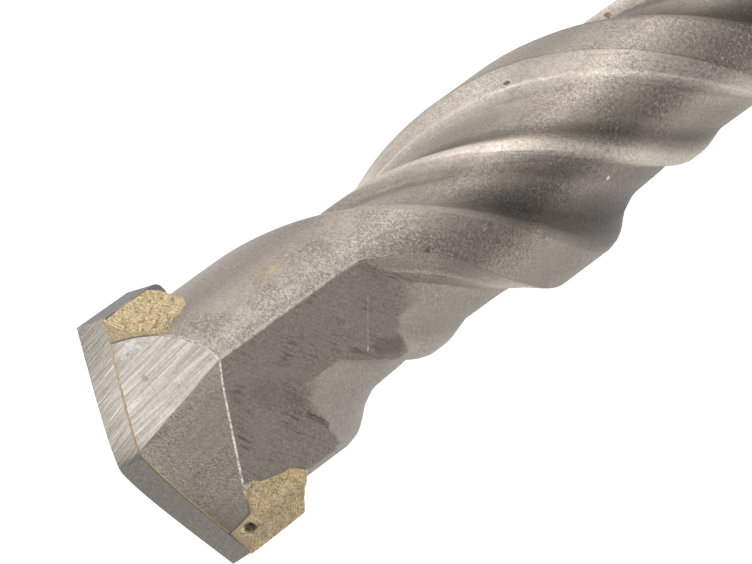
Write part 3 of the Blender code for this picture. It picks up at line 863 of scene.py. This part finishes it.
def upper_lump(seed, sink=0.0):
    """Return the lump behind the pale cheek: a wide tongue over the land, thickest at the plate."""
    return lump(
        base=land_base,
        outward=lambda t: (np.ones_like(t), UPPER_SPREAD * t),
        reach=lambda depth: between(UPPER_REACHES, depth, MM, MM) - REACH_PER_SINK * sink,
        hollow=UPPER_HOLLOW,
        front=lambda x, y: ground_front(x, y, PALE_START + PALE_SLANT * x, PALE_RISE) + sink,
        back=lambda t: between(UPPER_TAILS, UPPER_FIRST + t * (UPPER_LAST - UPPER_FIRST), DEGREE, MM),
        seed=seed,
        pit=False,
    )


def lower_lump(seed, pit, sink=0.0):
    """Return the lump behind the dark cheek: it fills the corner between the plate and the flat."""
    return lump(
        base=flat_base,
        outward=lambda t: (-1 + LOWER_TURN * t, LOWER_SPREAD * t),
        reach=lambda depth: between(LOWER_REACHES, depth, MM, MM) - REACH_PER_SINK * sink,
        hollow=LOWER_HOLLOW,
        front=lambda x, y: ground_front(x, y, DARK_START + DARK_SLANT * x, DARK_RISE) + sink,
        back=lambda t: between(LOWER_TAILS, t, 1.0, MM),
        seed=seed,
        pit=pit,
    )


def seam_strip(seam_x, seam_depth):
    """Return the thin line of braze between the plate's face and the slot's wall, just below the cheeks."""
    inner, outer = HALF_PLATE - INTO_PLATE, SLOT_HALF_WIDTH + INTO_STEEL
    x = seam_x * STRIP_SHARE
    top = seam_depth - SEAM_STEP
    low = np.full_like(x, SLOT_DEPTH - INTO_STEEL)
    corners = [(inner, top), (outer, top), (outer, low), (inner, low), (inner, top)]
    ring = np.stack([np.stack([x, np.full_like(x, -y), LENGTH - depth], axis=-1) for y, depth in corners])
    ends = [np.stack([ring[[0, 1], end], ring[[3, 2], end]]) for end in (0, -1)]
    return [patch(face, thin=1.0) for face in [ring] + ends]


print("lumps stand off by", UPPER_REACHES[0][1], "and", LOWER_REACHES[0][1], "mm beside the cheeks")

# %% [markdown]
# Finishes come next. Each metal keeps its own shader, and the marks that several metals share are node groups that
# read the object's own coordinates: the grain left by blasting, the parallel lines left by grinding, and single
# spots. Image textures would need a UV map, while object coordinates are in metres, so a noise scale of 10000 gives
# grains of about a tenth of a mm.

# %% Node helpers
FIRST_COLOUR, SECOND_COLOUR, MIXED_COLOUR = 6, 7, 2


class Nodes:
    """A node tree, with a short call for each node that the finishes use."""

    def __init__(self, tree):
        self.tree = tree
        self.link = tree.links.new

    def add(self, kind, inputs=None, **settings):
        """Add a node, set its properties, and link or set its inputs by name or number."""
        node = self.tree.nodes.new(kind)
        for name, value in settings.items():
            setattr(node, name, value)
        for socket, value in (inputs or {}).items():
            if isinstance(value, bpy.types.NodeSocket):
                self.link(value, node.inputs[socket])
            else:
                node.inputs[socket].default_value = value
        return node

    def maths(self, operation, first, second=0.0, clamp=False):
        """Add a maths node and return its result."""
        return self.add("ShaderNodeMath", {0: first, 1: second}, operation=operation, use_clamp=clamp).outputs[0]

    def times(self, first, second, clamp=False):
        """Multiply two values."""
        return self.maths("MULTIPLY", first, second, clamp)

    def plus(self, first, second, clamp=False):
        """Add two values."""
        return self.maths("ADD", first, second, clamp)

    def minus(self, first, second):
        """Subtract the second value from the first."""
        return self.maths("SUBTRACT", first, second)

    def vector(self, operation, inputs, output="Vector"):
        """Add a vector maths node and return its result."""
        return self.add("ShaderNodeVectorMath", inputs, operation=operation).outputs[output]

    def combine(self, **parts):
        """Make a vector from the parts X, Y and Z."""
        return self.add("ShaderNodeCombineXYZ", parts).outputs[0]

    def ramp(self, value, low, high, to_low=0.0, to_high=1.0):
        """Map a value from low..high to another range, held at both ends."""
        inputs = {"Value": value, "From Min": low, "From Max": high, "To Min": to_low, "To Max": to_high}
        return self.add("ShaderNodeMapRange", inputs).outputs["Result"]

    def blend(self, share, *colours):
        """Mix two colours by a share."""
        first, second = (
            colour if isinstance(colour, bpy.types.NodeSocket) else (*colour, 1.0) for colour in colours)
        inputs = {0: share, FIRST_COLOUR: first, SECOND_COLOUR: second}
        return self.add("ShaderNodeMix", inputs, data_type="RGBA").outputs[MIXED_COLOUR]

    def noise(self, place, scale, detail=2.0, roughness=0.5):
        """Add a noise texture and return its value."""
        inputs = {"Vector": place, "Scale": scale, "Detail": detail, "Roughness": roughness}
        return self.add("ShaderNodeTexNoise", inputs).outputs["Fac"]

    def place(self):
        """Return the object's own coordinates."""
        return self.add("ShaderNodeTexCoord").outputs["Object"]

    def share(self, name):
        """Return a share that the mesh carries at each point."""
        return self.add("ShaderNodeAttribute", attribute_name=name).outputs["Fac"]

    def group(self, group, inputs=None):
        """Place a node group and return its outputs."""
        return self.add("ShaderNodeGroup", inputs, node_tree=group).outputs


def new_group(name, inputs, outputs):
    """Return an empty node group's nodes, what it is given and what it gives."""
    group = bpy.data.node_groups.new(name, "ShaderNodeTree")
    for label, kind in inputs.items():
        group.interface.new_socket(name=label, in_out="INPUT", socket_type=kind)
    for label in outputs:
        group.interface.new_socket(name=label, in_out="OUTPUT", socket_type="NodeSocketFloat")
    return Nodes(group), group.nodes.new("NodeGroupInput").outputs, group.nodes.new("NodeGroupOutput").inputs


print("short calls:", ", ".join(name for name in vars(Nodes) if not name.startswith("_")))

# %% [markdown]
# Blasting leaves small facets that sparkle, so the grain has a fine and a coarser noise. A broad noise makes it
# stronger in some places, and a fourth gives stains of a few millimetres. One noise with more detail would do for a
# distant view, but not for this close one.

# %% Blasted grain
GRAIN_SCALE = 9500.0
COARSE_GRAIN_SCALE = 4300.0
PATCH_SCALE = 330.0
STAIN_SCALE = 110.0
FINE_SHARE = 0.55
COARSE_SHARE = 0.45
SPECKLE_RANGE = 0.14
# The low and high end of a noise, and the two strengths that they stand for if not 0 and 1.
PATCH_RANGE = (0.35, 0.65, 0.45, 1.0)
STAIN_RANGE = (0.3, 0.7)


def grain_group():
    """Return the group that gives the height of the grain, its speckle and its stains, each from 0 to 1."""
    nodes, _, out = new_group("blasted_grain", {}, ["Height", "Speckle", "Stain"])
    place = nodes.place()
    fine = nodes.noise(place, GRAIN_SCALE, roughness=0.6)
    coarser = nodes.noise(place, COARSE_GRAIN_SCALE, roughness=0.55)
    both = nodes.plus(nodes.times(fine, FINE_SHARE), nodes.times(coarser, COARSE_SHARE))
    strength = nodes.ramp(nodes.noise(place, PATCH_SCALE), *PATCH_RANGE)
    centred = nodes.times(nodes.minus(both, 0.5), strength)
    nodes.link(nodes.plus(centred, 0.5), out["Height"])
    nodes.link(nodes.ramp(centred, -SPECKLE_RANGE, SPECKLE_RANGE), out["Speckle"])
    stains = nodes.noise(place, STAIN_SCALE, detail=3.0, roughness=0.6)
    nodes.link(nodes.ramp(stains, *STAIN_RANGE), out["Stain"])
    return nodes.tree


grain = grain_group()
print("grain of", round(1000 / GRAIN_SCALE, 2), "mm")

# %% [markdown]
# Grinding leaves parallel lines. A wave texture gives lines that are all alike, so a noise is stretched a long way
# along one direction and squeezed across it. The direction is an angle about the bit's axis, and the spacing is a
# length.

# %% Grinding lines
LINE_STRETCH = 0.035
LINE_TONE_SCALE = 0.8
LINE_TONE_RANGE = (0.3, 0.7)


def lines_group():
    """Return the group that gives ground lines: their height, and a softer and broader tone."""
    given_sockets = {"Angle": "NodeSocketFloat", "Spacing": "NodeSocketFloat"}
    nodes, given, out = new_group("ground_lines", given_sockets, ["Height", "Tone"])
    inputs = {"Vector": nodes.place(), "Angle": given["Angle"]}
    turned = nodes.add("ShaderNodeVectorRotate", inputs, rotation_type="Z_AXIS").outputs[0]
    per_line = nodes.maths("DIVIDE", 1.0, given["Spacing"])
    along = nodes.times(per_line, LINE_STRETCH)
    squeezed = nodes.vector("MULTIPLY", {0: turned, 1: nodes.combine(X=per_line, Y=along, Z=along)})
    nodes.link(nodes.noise(squeezed, 1.0, detail=3.0, roughness=0.65), out["Height"])
    nodes.link(nodes.ramp(nodes.noise(squeezed, LINE_TONE_SCALE), *LINE_TONE_RANGE), out["Tone"])
    return nodes.tree


lines = lines_group()
print("lines are", round(1 / LINE_STRETCH), "times as long as they are wide")

# %% [markdown]
# A few single marks stand out: pits, a scratch, a gouge, a dot of rust and a smear of braze. Painting them would take
# an image, so each is a capsule in the object's coordinates: all points within a radius of a short line, with an
# uneven rim.

# %% Marks
# The near-black below is laid into the gouge and the pits, which the bump also dents.
DENT_DARK = (0.07, 0.06, 0.05)
OXIDE = (0.13, 0.11, 0.09)
RUST = (0.30, 0.11, 0.03)
BRIGHT = (0.85, 0.81, 0.75)
SMEAR = (0.46, 0.36, 0.17)
RIM_NOISE_SCALE = 2600.0
RIM_NOISE = 6.0
# The shares of its radius at which a mark begins and is full.
MARK_EDGE = (1.2, 0.6)


def mark_group():
    """Return the group that gives 1 inside an uneven capsule between two points, and 0 outside.

    The nearest point of the line is its start + share * (end - start), with the share held between 0 and 1.
    """
    points = {"Start": "NodeSocketVector", "End": "NodeSocketVector"}
    given_sockets = {**points, "Radius": "NodeSocketFloat", "Unevenness": "NodeSocketFloat"}
    nodes, given, out = new_group("mark", given_sockets, ["Inside"])
    place = nodes.place()
    reach = nodes.vector("SUBTRACT", {0: given["End"], 1: given["Start"]})
    away = nodes.vector("SUBTRACT", {0: place, 1: given["Start"]})
    along = nodes.vector("DOT_PRODUCT", {0: away, 1: reach}, "Value")
    whole = nodes.vector("DOT_PRODUCT", {0: reach, 1: reach}, "Value")
    nearest = nodes.vector("SCALE", {0: reach, "Scale": nodes.maths("DIVIDE", along, whole, clamp=True)})
    distance = nodes.vector("DISTANCE", {0: away, 1: nearest}, "Value")
    distance = nodes.maths("DIVIDE", distance, given["Radius"])
    shift = nodes.times(nodes.minus(nodes.noise(place, RIM_NOISE_SCALE, detail=3.0), 0.5), RIM_NOISE)
    distance = nodes.plus(distance, nodes.times(shift, given["Unevenness"]))
    nodes.link(nodes.ramp(distance, *MARK_EDGE), out["Inside"])
    return nodes.tree


mark = mark_group()


def add_marks(nodes, colour, height, marks):
    """Lay marks over a colour and a height.

    Each mark is its start and end in mm, radius in mm, unevenness, tint, the tint's share and the rise in height.
    """
    for start, end, radius, unevenness, tint, share, rise in marks:
        inputs = {"Start": [value * MM for value in start], "End": [value * MM for value in end],
                  "Radius": radius * MM, "Unevenness": unevenness}
        inside = nodes.group(mark, inputs)["Inside"]
        colour = nodes.blend(nodes.times(inside, share), colour, tint)
        height = nodes.plus(height, nodes.times(inside, rise))
    return colour, height


print("a mark takes", len(mark.nodes), "nodes")

# %% [markdown]
# Every material here has the same frame: a Principled shader whose colour, roughness and bump change over the
# surface, while metallic is the same all over and is set on the shader itself. The steel isn't fully metallic, as a
# thin dull skin of oxide covers it.

# %% New materials
METALLIC = 0.85
BRAZE_METALLIC = 0.75


def new_material(name, metallic=METALLIC):
    """Return a new material, its nodes and its shader."""
    material = bpy.data.materials.new(name)
    material.use_nodes = True
    shader = material.node_tree.nodes["Principled BSDF"]
    shader.inputs["Metallic"].default_value = metallic
    return material, Nodes(material.node_tree), shader


def finish(nodes, shader, colour, roughness, height, depth):
    """Link colour, roughness and the bump of a height (0 to 1) that stands for a depth in metres."""
    bump = nodes.add("ShaderNodeBump", {"Height": height, "Strength": 1.0, "Distance": depth}).outputs[0]
    for socket, value in (("Base Color", colour), ("Roughness", roughness), ("Normal", bump)):
        nodes.link(value, shader.inputs[socket])


print("steel is", METALLIC, "metallic and braze", BRAZE_METALLIC)

# %% [markdown]
# The body's steel is a warm, dull grey with dark and bright specks. One grey with a bump would look cast, so the
# colour is laid on in layers, mostly in the order in which the real one came about: blasted grain, stains, the
# cutter's slanting stripes on the head's flats, the tone that the mesh carries, which is mostly painted light and
# shade, fine lines along the helix, glints, which are painted highlights, and worn edges, which are brighter and
# smoother. The stripes follow the distance across the flat, and the lines the length around the section.

# %% Body steel
STEEL_DARK = (0.272, 0.237, 0.203)
STEEL_LIGHT = (0.525, 0.467, 0.410)
STEEL_STAINED = (0.33, 0.275, 0.22)
STEEL_WORN = (0.90, 0.84, 0.77)
PLAIN_CONTRAST, SPARKLE_CONTRAST = 0.9, 1.5
STAIN_SHARE, STRIPE_SHARE, SCORE_SHARE, GLINT_SHARE = 0.30, 0.7, 0.25, 0.5
# The low and high end of a noise over which each mark comes in, and its strengths there if not 0 and 1.
STRIPE_RANGE = (0.50, 0.66)
SCORE_RANGE = (0.60, 0.74)
GLINT_RANGE = (0.80, 1.0)
WORN_RANGE = (0.40, 0.56, 0.30, 1.1)
STEEL_ROUGHNESS = (0.56, 0.44)
STRIPED_SCALE = 420.0
WORN_SCALE = 2400.0
WORN_GLOSS = 0.12
MILL_SPACING = 0.30 * MM
MILL_STRETCH = 0.10
FLUTE_LINE = 0.16 * MM
FLUTE_LINE_STRETCH = 0.03
FLUTE_LINE_HEIGHT = 0.5
BODY_BUMP = 0.10 * MM
HATCHED = {"Start": (-0.0012, -0.0057, 0.1836), "End": (-0.0033, -0.0048, 0.1795), "Radius": 0.9 * MM,
           "Unevenness": 0.1}
BODY_MARKS = [
    ((-4.05, -4.51, 188.19), (-5.54, -3.84, 186.69), 0.22, 0.25, DENT_DARK, 0.50, -1.0),
    ((-3.3, -4.82, 180.0), (-3.75, -4.62, 178.4), 0.62, 0.25, OXIDE, 0.50, -0.3),
    ((-0.7, -5.9, 191.4), (-2.8, -5.0, 188.6), 0.9, 0.7, OXIDE, 0.30, -0.2),
    ((0.44, -6.33, 179.53), (-2.84, -5.00, 181.12), 0.032, 0.5, BRIGHT, 0.30, 0.0),
    ((-2.75, -5.04, 181.05), (-2.84, -5.00, 181.12), 0.09, 0.4, BRIGHT, 0.6, 0.0),
    ((0.62, -7.96, 174.23), (0.62, -7.96, 174.23), 0.20, 0.3, DENT_DARK, 0.7, -0.8),
    ((6.38, -2.85, 156.11), (6.45, -2.70, 156.3), 0.14, 0.3, DENT_DARK, 0.7, -0.6),
    ((5.75, -5.53, 184.52), (5.60, -5.68, 185.6), 0.55, 0.9, SMEAR, 0.32, 0.2),
    ((-3.23, -4.54, 154.23), (-3.23, -4.54, 154.45), 0.13, 0.2, BRIGHT, 0.9, 0.5),
    ((5.88, -0.25, 142.92), (5.88, -0.25, 142.92), 0.28, 0.3, RUST, 0.75, 0.0),
]


def mill_marks(nodes, upward):
    """Return the height of the slanting marks, from the distance across the flat and the height on the bit."""
    across = nodes.share("across")
    over = nodes.times(nodes.plus(across, upward), 1 / MILL_SPACING)
    along = nodes.times(nodes.minus(across, upward), MILL_STRETCH / MILL_SPACING)
    return nodes.noise(nodes.combine(X=over, Y=along), 1.0, detail=3.0, roughness=0.6)


def flute_lines(nodes, upward):
    """Return the height of the fine lines along the flutes, from the length around the section."""
    over = nodes.times(nodes.share("around"), 1 / FLUTE_LINE)
    along = nodes.times(upward, FLUTE_LINE_STRETCH / FLUTE_LINE)
    return nodes.noise(nodes.combine(X=over, Y=along), 1.0, detail=3.0, roughness=0.65)


def make_body_steel():
    """Return the blasted steel of the body."""
    material, nodes, shader = new_material("blasted_steel")
    blasted = nodes.group(grain)
    worn, milled, tone, sparkle = (nodes.share(name) for name in ("worn", "milled", "tone", "sparkle"))
    place = nodes.place()
    upward = nodes.add("ShaderNodeSeparateXYZ", {0: place}).outputs["Z"]
    contrast = nodes.plus(nodes.times(sparkle, SPARKLE_CONTRAST), PLAIN_CONTRAST)
    speckle = nodes.plus(nodes.times(nodes.minus(blasted["Speckle"], 0.5), contrast), 0.5, clamp=True)
    colour = nodes.blend(speckle, STEEL_DARK, STEEL_LIGHT)
    colour = nodes.blend(nodes.times(blasted["Stain"], STAIN_SHARE), colour, STEEL_STAINED)

    marks = mill_marks(nodes, upward)
    striped = nodes.ramp(nodes.noise(place, STRIPED_SCALE), *STRIPE_RANGE)
    striped = nodes.times(milled, nodes.maths("MAXIMUM", striped, nodes.group(mark, HATCHED)["Inside"]))
    stripes = nodes.times(nodes.ramp(marks, *STRIPE_RANGE), striped)
    colour = nodes.blend(nodes.times(stripes, STRIPE_SHARE), colour, OXIDE)
    colour = nodes.vector("SCALE", {0: colour, "Scale": tone})

    lines_height = flute_lines(nodes, upward)
    scored = nodes.times(nodes.ramp(lines_height, *SCORE_RANGE), nodes.minus(1.0, milled))
    colour = nodes.blend(nodes.times(scored, SCORE_SHARE), colour, OXIDE)
    # Glints are painted highlights: bright colour on the highest specks where the steel is coarsely blasted.
    glint = nodes.times(nodes.ramp(blasted["Speckle"], *GLINT_RANGE), sparkle)
    colour = nodes.blend(nodes.times(glint, GLINT_SHARE), colour, BRIGHT)
    uneven = nodes.ramp(nodes.noise(place, WORN_SCALE), *WORN_RANGE)
    worn = nodes.times(worn, uneven, clamp=True)
    colour = nodes.blend(worn, colour, STEEL_WORN)

    roughness = nodes.ramp(blasted["Speckle"], 0.0, 1.0, *STEEL_ROUGHNESS)
    roughness = nodes.minus(roughness, nodes.times(worn, WORN_GLOSS))
    height = nodes.times(nodes.minus(blasted["Height"], 0.5), contrast)
    height = nodes.plus(height, nodes.times(nodes.minus(marks, 0.5), milled))
    height = nodes.plus(height, nodes.times(lines_height, FLUTE_LINE_HEIGHT))
    colour, height = add_marks(nodes, colour, height, BODY_MARKS)
    finish(nodes, shader, colour, roughness, height, BODY_BUMP)
    return material


blasted_steel = make_body_steel()
print("blasted steel with", len(BODY_MARKS), "marks")

# %% [markdown]
# The cheeks are ground after the plate is in. The pale one faces the light and shows its lines, parallel to the
# ridge. The dark one is speckled. The plate's flanks were ground in the same pass, so they share the lines, but
# carbide is harder and its lines are finer. The metals differ only in values, so one function makes all of them.

# %% Ground cheeks, shank and carbide
LINE_ANGLE = -17 * DEGREE
ROUGHNESS_RANGE = 0.06
PALE_MARKS = [
    ((4.69, -2.96, 197.28), (4.50, -3.15, 197.25), 0.14, 0.7, (0.36, 0.28, 0.17), 0.6, -0.3),
    ((6.6, -2.2, 196.9), (6.9, -2.9, 196.4), 0.35, 0.9, (0.9, 0.9, 0.9), 0.4, 0.1),
]
PLATE_MARKS = [((5.99, 0.38, 198.08), (5.95, 0.38, 198.1), 0.10, 0.4, DENT_DARK, 0.6, -0.8)]


def make_ground(name, dark, light, rough, line_share, grain_share, depth, spacing, marks=()):
    """Return a ground metal: lines and grain in the given shares, between a dark and a light colour.

    The depth of the bump and the lines' spacing are in mm.
    """
    material, nodes, shader = new_material(name)
    blasted = nodes.group(grain)
    ground = nodes.group(lines, {"Angle": LINE_ANGLE, "Spacing": spacing * MM})
    height = nodes.plus(nodes.times(ground["Height"], line_share), nodes.times(blasted["Height"], grain_share))
    tone = nodes.times(ground["Tone"], line_share)
    tone = nodes.plus(tone, nodes.times(blasted["Speckle"], grain_share), clamp=True)
    roughness = nodes.ramp(tone, 0.0, 1.0, rough + ROUGHNESS_RANGE, rough - ROUGHNESS_RANGE)
    colour, height = add_marks(nodes, nodes.blend(tone, dark, light), height, marks)
    finish(nodes, shader, colour, roughness, height, depth * MM)
    return material


pale_cheek = make_ground(
    "pale_cheek", dark=(0.40, 0.36, 0.325), light=(0.78, 0.72, 0.66), rough=0.42,
    line_share=0.60, grain_share=0.40, depth=0.05, spacing=0.14, marks=PALE_MARKS)
dark_cheek = make_ground(
    "dark_cheek", dark=(0.265, 0.23, 0.19), light=(0.64, 0.57, 0.49), rough=0.48,
    line_share=0.20, grain_share=0.80, depth=0.07, spacing=0.16)
shank_steel = make_ground(
    "shank_steel", dark=(0.36, 0.33, 0.30), light=(0.48, 0.445, 0.41), rough=0.34,
    line_share=0.3, grain_share=0.4, depth=0.02, spacing=0.3)
ground_carbide = make_ground(
    "ground_carbide", dark=(0.37, 0.332, 0.29), light=(0.68, 0.62, 0.555), rough=0.42,
    line_share=0.6, grain_share=0.4, depth=0.04, spacing=0.12, marks=PLATE_MARKS)
speckled_carbide = make_ground(
    "speckled_carbide", dark=(0.47, 0.43, 0.37), light=(0.92, 0.85, 0.76), rough=0.44,
    line_share=0.15, grain_share=0.85, depth=0.05, spacing=0.12)
margin_carbide = make_ground(
    "margin_carbide", dark=(0.13, 0.125, 0.118), light=(0.27, 0.255, 0.235), rough=0.60,
    line_share=0.1, grain_share=0.9, depth=0.05, spacing=0.12)
print("ground lines run at", round(math.degrees(LINE_ANGLE)), "degrees about the axis")

# %% [markdown]
# Braze is a soft golden alloy that froze in lumps. It is matt and granular, paler on the high grains and brown in
# the hollows, and brighter on the ground front faces, partly as ground braze and partly as painted light. One noise
# serves for both colour and bump, so the two agree.

# %% Braze metal
BRAZE_DARK = (0.34, 0.235, 0.115)
BRAZE_LIGHT = (0.72, 0.575, 0.35)
BRAZE_GREY = (0.48, 0.41, 0.30)
BRAZE_THIN = (0.56, 0.43, 0.27)
BRAZE_GROUND_AND_SHEEN = (1.0, 0.82, 0.53)
BRAZE_PIT = (0.05, 0.035, 0.02)
BRAZE_FLECK = (0.95, 0.86, 0.66)
BRAZE_GRAIN_SCALE = 6500.0
BRAZE_CLUMP_SCALE = 1100.0
GRAIN_HEIGHT, CLUMP_HEIGHT = 0.7, 0.3
THIN_SHARE, GROUND_AND_SHEEN_SHARE = 0.6, 0.55
# The low and high end of the grain or the clumps, and what they stand for if not 0 and 1.
PALE_RANGE = (0.36, 0.62)
GREY_RANGE = (0.35, 0.7, 0.0, 0.45)
BRAZE_ROUGHNESS = (0.35, 0.65, 0.60, 0.46)
BRAZE_BUMP = 0.10 * MM
BRAZE_MARKS = [
    ((-8.24, -2.48, 196.3), (-8.18, -2.62, 195.5), 0.33, 0.35, BRAZE_PIT, 0.92, -0.8),
    ((-8.28, -2.16, 196.52), (-8.2, -2.1, 196.6), 0.12, 0.4, BRAZE_FLECK, 0.8, 0.6),
]


def make_braze():
    """Return the golden braze."""
    material, nodes, shader = new_material("braze", BRAZE_METALLIC)
    place = nodes.place()
    grains = nodes.noise(place, BRAZE_GRAIN_SCALE, detail=3.0, roughness=0.62)
    clumps = nodes.noise(place, BRAZE_CLUMP_SCALE)
    height = nodes.plus(nodes.times(grains, GRAIN_HEIGHT), nodes.times(clumps, CLUMP_HEIGHT))
    colour = nodes.blend(nodes.ramp(grains, *PALE_RANGE), BRAZE_DARK, BRAZE_LIGHT)
    colour = nodes.blend(nodes.ramp(clumps, *GREY_RANGE), colour, BRAZE_GREY)
    colour = nodes.blend(nodes.times(nodes.share("thin"), THIN_SHARE), colour, BRAZE_THIN)
    # The ground front faces are lightened: ground braze, and painted light as well.
    colour = nodes.blend(nodes.times(nodes.share("ground"), GROUND_AND_SHEEN_SHARE), colour, BRAZE_GROUND_AND_SHEEN)
    colour, height = add_marks(nodes, colour, height, BRAZE_MARKS)
    finish(nodes, shader, colour, nodes.ramp(grains, *BRAZE_ROUGHNESS), height, BRAZE_BUMP)
    return material


braze = make_braze()
print("braze with", len(BRAZE_MARKS), "marks")

# %% [markdown]
# The patches are welded into three pieces, as the real bit has three pieces of matter. Each piece rides on the one
# body and stands for the solid that it covers. The far half of the head lies a little lower, as its plate does.

# %% Make the body
side, wall, seam_x, seam_depth = head_patches()
far_side, far_wall, _, far_seam_depth = head_patches(FAR_SINK)
body_patches = [side, wall, half_turned(far_side), half_turned(far_wall), slot_floor(seam_x), body_tube()]
BODY_SHARES = ("worn", "milled", "across", "around", "tone", "sparkle")
body = weld("fluted_body", body_patches + shank_patches(), BODY_SHARES, sharp_angle=34)
for material in (blasted_steel, pale_cheek, dark_cheek, shank_steel):
    body.data.materials.append(material)
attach(body, "root")
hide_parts("drill_body")

# %% [markdown]
# The plate's crown has two finishes, one on each flank, and its other faces a third, darker one.

# %% Make the plate
plate = weld("ground_plate", plate_patches(), sharp_angle=28)
for material in (ground_carbide, speckled_carbide, margin_carbide):
    plate.data.materials.append(material)
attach(plate, "root")
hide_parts("carbide_tip")

# %% [markdown]
# The braze is four lumps and two strips. Every lump has its own seed, so no two have the same grain, and only the
# lower one that faces the camera has a pit.

# %% Make the braze
near_lumps = upper_lump(seed=3) + lower_lump(seed=11, pit=True)
far_lumps = upper_lump(seed=23, sink=FAR_SINK) + lower_lump(seed=31, pit=False, sink=FAR_SINK)
far_half = [half_turned(piece) for piece in far_lumps + seam_strip(seam_x, far_seam_depth)]
braze_patches = near_lumps + seam_strip(seam_x, seam_depth) + far_half
braze_piece = weld("braze_lumps", braze_patches, ("thin", "ground"), sharp_angle=50)
braze_piece.data.materials.append(braze)
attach(braze_piece, "root")
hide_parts("braze_joint")

# %% [markdown]
# The studio is plain: a pale floor that keeps the shadow, a white surround, and large soft lamps. The floor glows
# only for rays that come from the camera, shiny metal or glass, so it looks white and adds no light to the bit.

# %% Floor, surround and lamps
FLOOR_SIZE = 8.0
FLOOR_COLOUR = (0.90, 0.90, 0.90, 1.0)
FLOOR_GLOW = 0.60
WORLD_LIGHT = 0.25
WHITE = (1, 1, 1, 1)
LAMP_AIM = (0, 0, 0.17)
# Name, place, size and power in watts.
LAMPS = [
    ("left_lamp", (0.394, -0.340, 0.777), 0.45, 1.40),
    ("front_lamp", (-0.127, -0.725, 0.484), 0.45, 1.60),
    ("back_lamp", (0.393, 0.678, 0.333), 0.45, 2.60),
    ("low_lamp", (0.237, -0.091, 0.050), 0.158, 0.25),
]


def add_floor():
    """Return the pale floor. Rays from the camera and from shiny metal see it brightened to white."""
    builder = bmesh.new()
    bmesh.ops.create_grid(builder, x_segments=1, y_segments=1, size=FLOOR_SIZE / 2)
    mesh = bpy.data.meshes.new("studio_floor")
    builder.to_mesh(mesh)
    builder.free()
    floor = bpy.data.objects.new("studio_floor", mesh)
    bpy.context.scene.collection.objects.link(floor)
    material, nodes, shader = new_material("studio_floor", metallic=0.0)
    shader.inputs["Base Color"].default_value = FLOOR_COLOUR
    shader.inputs["Roughness"].default_value = 1.0
    shader.inputs["Emission Color"].default_value = WHITE
    rays = nodes.add("ShaderNodeLightPath").outputs
    seen = nodes.maths("MAXIMUM", rays["Is Camera Ray"], rays["Is Glossy Ray"])
    seen = nodes.maths("MAXIMUM", seen, rays["Is Transmission Ray"])
    nodes.link(nodes.times(seen, FLOOR_GLOW), shader.inputs["Emission Strength"])
    mesh.materials.append(material)
    return floor


def add_surround():
    """Give the world an even, soft light."""
    world = bpy.data.worlds.new("studio")
    bpy.context.scene.world = world
    world.use_nodes = True
    light = world.node_tree.nodes["Background"]
    light.inputs["Color"].default_value = WHITE
    light.inputs["Strength"].default_value = WORLD_LIGHT


def add_lamp(name, place, size, power):
    """Add a square soft lamp at a place, aimed at the bit."""
    light = bpy.data.lights.new(name, "AREA")
    light.size = size
    light.energy = power
    lamp = bpy.data.objects.new(name, light)
    direction = Vector(LAMP_AIM) - Vector(place)
    lamp.matrix_world = Matrix.Translation(place) @ direction.to_track_quat("-Z", "Y").to_matrix().to_4x4()
    lamp.visible_camera = False
    bpy.context.scene.collection.objects.link(lamp)


add_floor()
add_surround()
for lamp in LAMPS:
    add_lamp(*lamp)
bpy.context.scene.view_settings.view_transform = "Standard"
print(len(LAMPS), "lamps give", round(sum(lamp[-1] for lamp in LAMPS), 2), "watts")

# %% [markdown]
